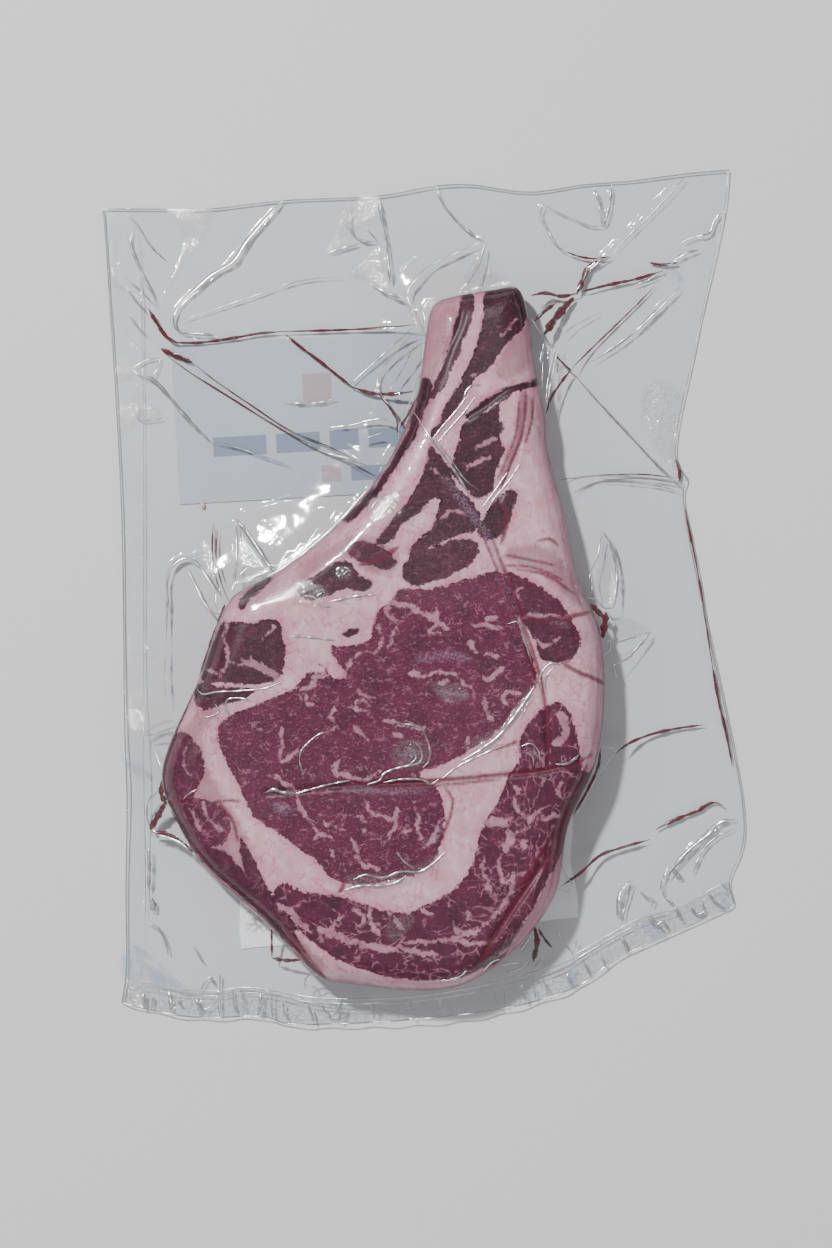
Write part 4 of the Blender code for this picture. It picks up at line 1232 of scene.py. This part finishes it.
def sealStrokes():
    # the bottom seal's double line, the side seal and the crimps of the skirt
    line = filmLook["sealLine"]
    strokes = [(1.0, line), (0.9, [(x, y + 5) for x, y in line]), (0.7, filmLook["sideSeal"])]
    crimps = [
        (143, 994, 144, 1010), (152, 996, 151, 1010), (178, 996, 180, 1006), (196, 1000, 201, 1018),
        (220, 974, 219, 1017), (232, 990, 236, 1014), (260, 994, 258, 1016), (283, 1003, 288, 1021),
        (308, 1005, 314, 1023), (341, 1000, 339, 1022), (495, 992, 500, 1008), (503, 988, 505, 1006),
        (522, 985, 526, 1001), (534, 984, 536, 999), (543, 980, 548, 996), (568, 974, 574, 989),
        (600, 956, 606, 968), (650, 916, 664, 932), (676, 908, 684, 922), (240, 990, 244, 1012),
        (272, 996, 273, 1018), (372, 1002, 374, 1018), (408, 1000, 411, 1016), (440, 996, 444, 1012),
        (168, 992, 170, 1012), (128, 984, 126, 1000), (585, 962, 590, 976), (622, 938, 628, 954),
    ]
    for index, (x0, y0, x1, y1) in enumerate(crimps):
        bend = 1.5 * math.sin(index * 2.4)
        half = 2.6 if index % 3 == 0 else 1.5
        strokes.append((half, [(x0, y0), ((x0 + x1) / 2 + bend, (y0 + y1) / 2), (x1, y1)]))
    strokes.append((1.3, [(202, 1000), (198, 1006), (205, 1010), (214, 1004), (217, 996)]))
    strokes.append((1.2, [(322, 1004), (326, 1013), (335, 1014), (338, 1007), (330, 1004)]))
    strokes.append((1.6, [(200, 992), (205, 982), (210, 978), (214, 986)]))
    strokes.append((1.8, [(648, 918), (656, 926), (664, 922), (668, 930)]))
    return strokes


def letThrough(piece):
    # clear film leaves hardly any shade, and light that reaches the meat passes it
    piece.visible_shadow = False
    piece.visible_diffuse = False


def buildFilm():
    front = filmMaterial("clearFilm", filmLook["shine"], filmLook["roughness"], True)
    pleatFilm = filmMaterial("pleatedFilm", filmLook["pleatShine"], filmLook["pleatRoughness"], False)
    rings = [moved(steakLoop, -depth) for depth in edgeRings]
    grid = staggered(bagLoop, filmLook["grid"])
    steakDepth = depthIn(grid, steakLoop, 4.0)
    inBag = depthIn(grid, bagLoop, 2.0) > 0.9
    grid = grid[inBag & ((steakDepth > 2.6) | (steakDepth < -0.7))]
    inner = np.concatenate(rings + [steakLoop, grid])
    places, corners, _ = trianglesOver(bagLoop, inner)
    piece = makePiece("frontFilm", np.column_stack([places, frontHeights(places)]), corners, [front])
    letThrough(piece)
    crinkle = np.full(len(places), -6.0)
    for outline in crinklePatches:
        crinkle = np.maximum(crinkle, depthIn(places, smoothPath(spots(outline), True, 2.0), 6.0))
    giveField(piece, "crinkle", crinkle)
    sideSeal = smoothPath(spots(filmLook["sideSeal"]), False, 3.0)
    giveField(piece, "seal", np.interp(places[:, 1], sideSeal[::-1, 1], sideSeal[::-1, 0]) - places[:, 0])
    sealLine = smoothPath(spots(filmLook["sealLine"]), False, 3.0)
    giveField(piece, "skirt", np.interp(places[:, 0], sealLine[:, 0], sealLine[:, 1]) - places[:, 1])
    giveField(piece, "loose", -depthIn(places, steakLoop, 6.0))
    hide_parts("bag_film")
    print("film:", len(places), "vertices")

    points, faces = ribbonMesh(
        pleats, frontHeights, lift=0.02, rise=0.7, spacing=0.8, sides=7, taperEnds=0.16,
        widen=filmLook["pleatWidth"])
    piece = makePiece("filmPleats", points, faces, [pleatFilm])
    points, faces = ribbonMesh(
        sealStrokes(), frontHeights, lift=0.02, rise=0.6, spacing=1.0, sides=6, taperEnds=0.12,
        widen=filmLook["pleatWidth"])
    piece = makePiece("filmSeals", points, faces, [pleatFilm])
    points, faces = buildRim()
    piece = makePiece("filmRim", points, faces, [pleatFilm])

    backGrid = staggered(bagLoop, filmLook["backGrid"])
    backGrid = backGrid[depthIn(backGrid, bagLoop, 3.0) > 2.0]
    nearSteak = [moved(steakLoop, -depth)[::3] for depth in (0.3, 1.5, 4.0, 7.0)]
    steakDepth = depthIn(backGrid, steakLoop, 12.0)
    backGrid = backGrid[(steakDepth < -2.5) | (steakDepth > 9.0)]
    places, corners, _ = trianglesOver(bagLoop, np.concatenate(nearSteak + [steakLoop[::3], backGrid]))
    margin, _ = filmSurface(places, False)
    heights = margin - filmLook["gap"]
    onSteak = depthIn(places, steakLoop, 1.0) > 0
    heights[onSteak] = np.maximum(steakBottom(places[onSteak]) - 0.22, 0.12)
    back = filmMaterial("backFilm", filmLook["shine"], filmLook["roughness"], False)
    piece = makePiece("backFilm", np.column_stack([places, heights]), corners[:, ::-1], [back])
    letThrough(piece)


def buildRim():
    # the cut edge of the bag, a thin pale line
    half = 0.28
    loop = moved(bagLoop, -half)
    heights = frontHeights(loop) - filmLook["gap"]
    points, faces = [], []
    around = 6
    for step in range(around):
        angle = 2 * math.pi * step / around
        ring = moved(bagLoop, -half + half * math.cos(angle))
        points.extend(np.column_stack([ring, heights + half * math.sin(angle)]).tolist())
    count = len(loop)
    for step in range(around):
        for index in range(count):
            following = (index + 1) % count
            above = (step + 1) % around
            faces.append((step * count + index, above * count + index, above * count + following,
                          step * count + following))
    return points, faces


# Red juice in the folds of the margin
juiceLook = {
    "colour": (0.034, 0.0035, 0.007),
    "paleColour": (0.105, 0.010, 0.020),
    "alpha": 0.90,
    "roughness": 0.22,
    "thick": 0.30,
    "width": 0.72,
}


def buildJuice():
    shader = Shader("redJuice")
    place = shader.place()
    streak = shader.noise(place, 0.5, 3.0)
    colour = shader.blend(streak.between(0.35, 0.65), juiceLook["colour"], juiceLook["paleColour"])
    alpha = streak.between(0.2, 0.6) * 0.25 + (juiceLook["alpha"] - 0.15)
    material = shader.finish(principled(shader, colour, juiceLook["roughness"], None, Alpha=alpha))

    def heights(places):
        margin, _ = filmSurface(places)
        onSteak = depthIn(places, steakLoop, 1.0) > 0
        margin[onSteak] = steakTop(places[onSteak])
        return margin

    points, faces = ribbonMesh(
        marginJuice, heights, lift=0.0, rise=juiceLook["thick"], spacing=1.2, sides=5, taperEnds=0.2,
        widen=juiceLook["width"])
    piece = makePiece("redJuice", points, faces, [material])
    print("juice:", len(points), "vertices")


def labelPlate(name, label, material, edgeWave):
    centre, right, down = labelFrame(label)
    size = np.array(label["size"])
    outline = []
    corners = [(-1, -1), (-1, 1), (1, 1), (1, -1)]
    for index, start in enumerate(corners):
        end = corners[(index + 1) % 4]
        a, b = np.array(start) * size / 2, np.array(end) * size / 2
        steps = max(1, int(np.linalg.norm(b - a) / 2.0))
        side = (b - a) / np.linalg.norm(b - a)
        for step in range(steps):
            share = step / steps
            bend = edgeWave * math.sin(share * math.pi) * math.sin(share * 11 + index * 2.1)
            outline.append(a + (b - a) * share + np.array([side[1], -side[0]]) * bend)
    local = np.array(outline)
    places = centre + local[:, :1] * right + local[:, 1:] * down
    count = len(places)
    points = [(*place, label["thick"]) for place in places] + [(*place, labelLift) for place in places]
    faces = [list(range(count)), [index + count for index in reversed(range(count))]]
    for index in range(count):
        following = (index + 1) % count
        faces.append([following, index, index + count, following + count])
    piece = makePiece(name, points, faces, [material], smooth=False)
    local = np.concatenate([local, local])
    giveField(piece, "across", local[:, 0])
    giveField(piece, "along", local[:, 1])
    return piece


def boxMask(shader, across, along, box, soft=0.15):
    x0, x1, y0, y1 = box
    inX = across.between(x0 - soft, x0 + soft) * across.between(x1 + soft, x1 - soft)
    return inX * along.between(y0 - soft, y0 + soft) * along.between(y1 + soft, y1 - soft)


def buildLabels():
    shader = Shader("printedCard")
    across, along = shader.field("across"), shader.field("along")
    place = shader.place()
    tone = shader.noise(place, 0.05, 3.0)
    colour = shader.blend(tone.between(0.3, 0.7) * 0.4, cardLabel["colour"], cardLabel["shadeColour"])
    for boxes, strength, printColour in (("bars", 0.62, "barColour"), ("marks", 0.45, "markColour")):
        mask = None
        for box in cardLabel[boxes]:
            found = boxMask(shader, across, along, box)
            mask = found if mask is None else mask.most(found)
        colour = shader.blend(mask * strength, colour, cardLabel[printColour])
    card = labelPlate("printedCard", cardLabel, shader.finish(principled(shader, colour, 0.55)), 0.0)
    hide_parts("back_label")

    shader = Shader("plainPaper")
    across, along = shader.field("across"), shader.field("along")
    place = shader.place()
    tone = shader.noise(place, 0.06, 3.0)
    colour = shader.blend(tone.between(0.3, 0.7) * 0.4, lowerLabel["colour"], lowerLabel["shadeColour"])
    blotches = shader.noise(place, 0.5, 2.0).between(0.4, 0.6)
    stain = boxMask(shader, across, along, lowerLabel["stain"], 2.5) * blotches
    colour = shader.blend(stain * 0.7, colour, lowerLabel["stainColour"])
    material = shader.finish(principled(shader, colour, 0.6))
    paper = labelPlate("plainPaper", lowerLabel, material, lowerLabel["edgeWave"])
    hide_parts("lower_label")
    print("labels made")


# Painted bluish reflections on the film where it lies double, and a crumb of fat by the card's corner
reflectionAndCrumbLook = {
    "colour": (0.22, 0.34, 0.46),
    "alpha": 0.36,
    "patches": [
        [(125, 944), (138, 946), (150, 956), (168, 972), (186, 988), (190, 994), (170, 990),
         (140, 982), (122, 978)],
        [(564, 956), (572, 962), (582, 984), (574, 986), (566, 974)],
        [(640, 922), (652, 926), (668, 936), (660, 940), (646, 934)],
        [(710, 888), (722, 894), (732, 908), (722, 910), (710, 900)],
        [(660, 268), (670, 264), (682, 276), (674, 282)],
        [(120, 758), (134, 760), (146, 768), (140, 772), (124, 766)],
    ],
    "crumb": (202, 505),
    "crumbSize": 1.3,
}


def buildReflectionsAndCrumb():
    # painted reflection: bluish, mottled patches laid over the film
    shader = Shader("paintedBlueReflection")
    mottled = shader.noise(shader.place(), 0.22, 2.0).between(0.36, 0.62) * reflectionAndCrumbLook["alpha"]
    surface = principled(shader, (*reflectionAndCrumbLook["colour"], 1.0), 0.2, None, Alpha=mottled)
    points, faces = [], []
    for outline in reflectionAndCrumbLook["patches"]:
        loop = smoothPath(spots(outline), True, 1.4)
        grid = staggered(loop, 1.5)
        grid = grid[depthIn(grid, loop, 3.0) > 0.7]
        places, corners, _ = trianglesOver(loop, grid)
        faces.append(corners + sum(len(block) for block in points))
        points.append(np.column_stack([places, frontHeights(places) + 0.08]))
    piece = makePiece("paintedBlueReflections", np.concatenate(points), np.concatenate(faces), [shader.finish(surface)])

    shader = Shader("fatCrumb")
    material = shader.finish(principled(shader, (*steakLook["fatPale"], 1.0), 0.4))
    middle = spots([reflectionAndCrumbLook["crumb"]])[0]
    size = reflectionAndCrumbLook["crumbSize"]
    points, faces = [], []
    rings, around = 7, 12
    for ring in range(rings):
        tilt = math.pi * (ring + 0.5) / rings
        for step in range(around):
            turn = 2 * math.pi * step / around
            reach = size * math.sin(tilt) * (1 + 0.25 * math.sin(turn * 2 + ring))
            x = middle[0] + reach * 0.7 * math.cos(turn)
            y = middle[1] + reach * 1.2 * math.sin(turn)
            points.append((x, y, 0.75 + 0.6 * math.cos(tilt)))
    for ring in range(rings - 1):
        for step in range(around):
            a, b = ring * around + step, ring * around + (step + 1) % around
            faces.append([a, a + around, b + around, b])
    faces.append(list(range(around)))
    faces.append([(rings - 1) * around + step for step in reversed(range(around))])
    piece = makePiece("fatCrumb", points, faces, [material])


buildSteak()
buildReflectionsAndCrumb()
buildLabels()
buildJuice()
buildFilm()

studio = {
    "floorColour": (0.54, 0.54, 0.545),
    "floorSize": 14.0,
    "worldColour": (0.80, 0.81, 0.83),
    "worldStrength": 0.42,
    "keyPower": 104.0,
    "keySize": 0.17,
    "keyPlace": (-0.95, 1.15, 2.1),
    "fillPower": 28.0,
    "fillSize": 1.8,
    "fillPlace": (1.5, -1.5, 1.7),
    "lowFillPower": 12.0,
    "lowFillPlace": (-1.7, -1.3, 1.2),
    "cameraHeight": 1.8,
    "focusHeight": 0.006,
    "frameHeight": 0.5117,
    "pictureSize": (832, 1248),
}


def addLight(name, place, size, power, mirrored=True):
    data = bpy.data.lights.new(name, "AREA")
    data.shape = "DISK"
    data.size = size
    data.energy = power
    light = bpy.data.objects.new(name, data)
    light.location = place
    light.rotation_euler = (-Vector(place)).to_track_quat("-Z", "Y").to_euler()
    light.visible_glossy = mirrored
    bpy.context.scene.collection.objects.link(light)


def buildStudio():
    half = studio["floorSize"] / 2
    mesh = bpy.data.meshes.new("paleFloor")
    corners = [(-half, -half, -0.0002), (half, -half, -0.0002), (half, half, -0.0002),
    (-half, half, -0.0002)]
    mesh.from_pydata(corners, [], [(0, 1, 2, 3)])
    shader = Shader("paleFloor")
    mesh.materials.append(shader.finish(principled(shader, (*studio["floorColour"], 1.0), 0.75)))
    floor = bpy.data.objects.new("paleFloor", mesh)
    bpy.context.scene.collection.objects.link(floor)

    world = bpy.data.worlds.new("softStudio")
    bpy.context.scene.world = world
    world.use_nodes = True
    background = world.node_tree.nodes["Background"]
    background.inputs["Color"].default_value = (*studio["worldColour"], 1.0)
    background.inputs["Strength"].default_value = studio["worldStrength"]
    addLight("keyLight", studio["keyPlace"], studio["keySize"], studio["keyPower"])
    addLight("fillLight", studio["fillPlace"], studio["fillSize"], studio["fillPower"], False)
    addLight("lowFillLight", studio["lowFillPlace"], studio["fillSize"], studio["lowFillPower"], False)

    data = bpy.data.cameras.new("photoCamera")
    data.sensor_fit = "VERTICAL"
    data.sensor_height = 36.0
    data.lens = 36.0 * studio["cameraHeight"] / studio["frameHeight"]
    camera = bpy.data.objects.new("photoCamera", data)
    width, height = studio["pictureSize"]
    middle = spots([(width / 2, height / 2)])[0] * 0.001
    camera.location = (middle[0], middle[1], studio["cameraHeight"] + studio["focusHeight"])
    camera.rotation_euler = (0, 0, 0)
    bpy.context.scene.collection.objects.link(camera)
    bpy.context.scene.camera = camera
    print("studio ready")


buildStudio()
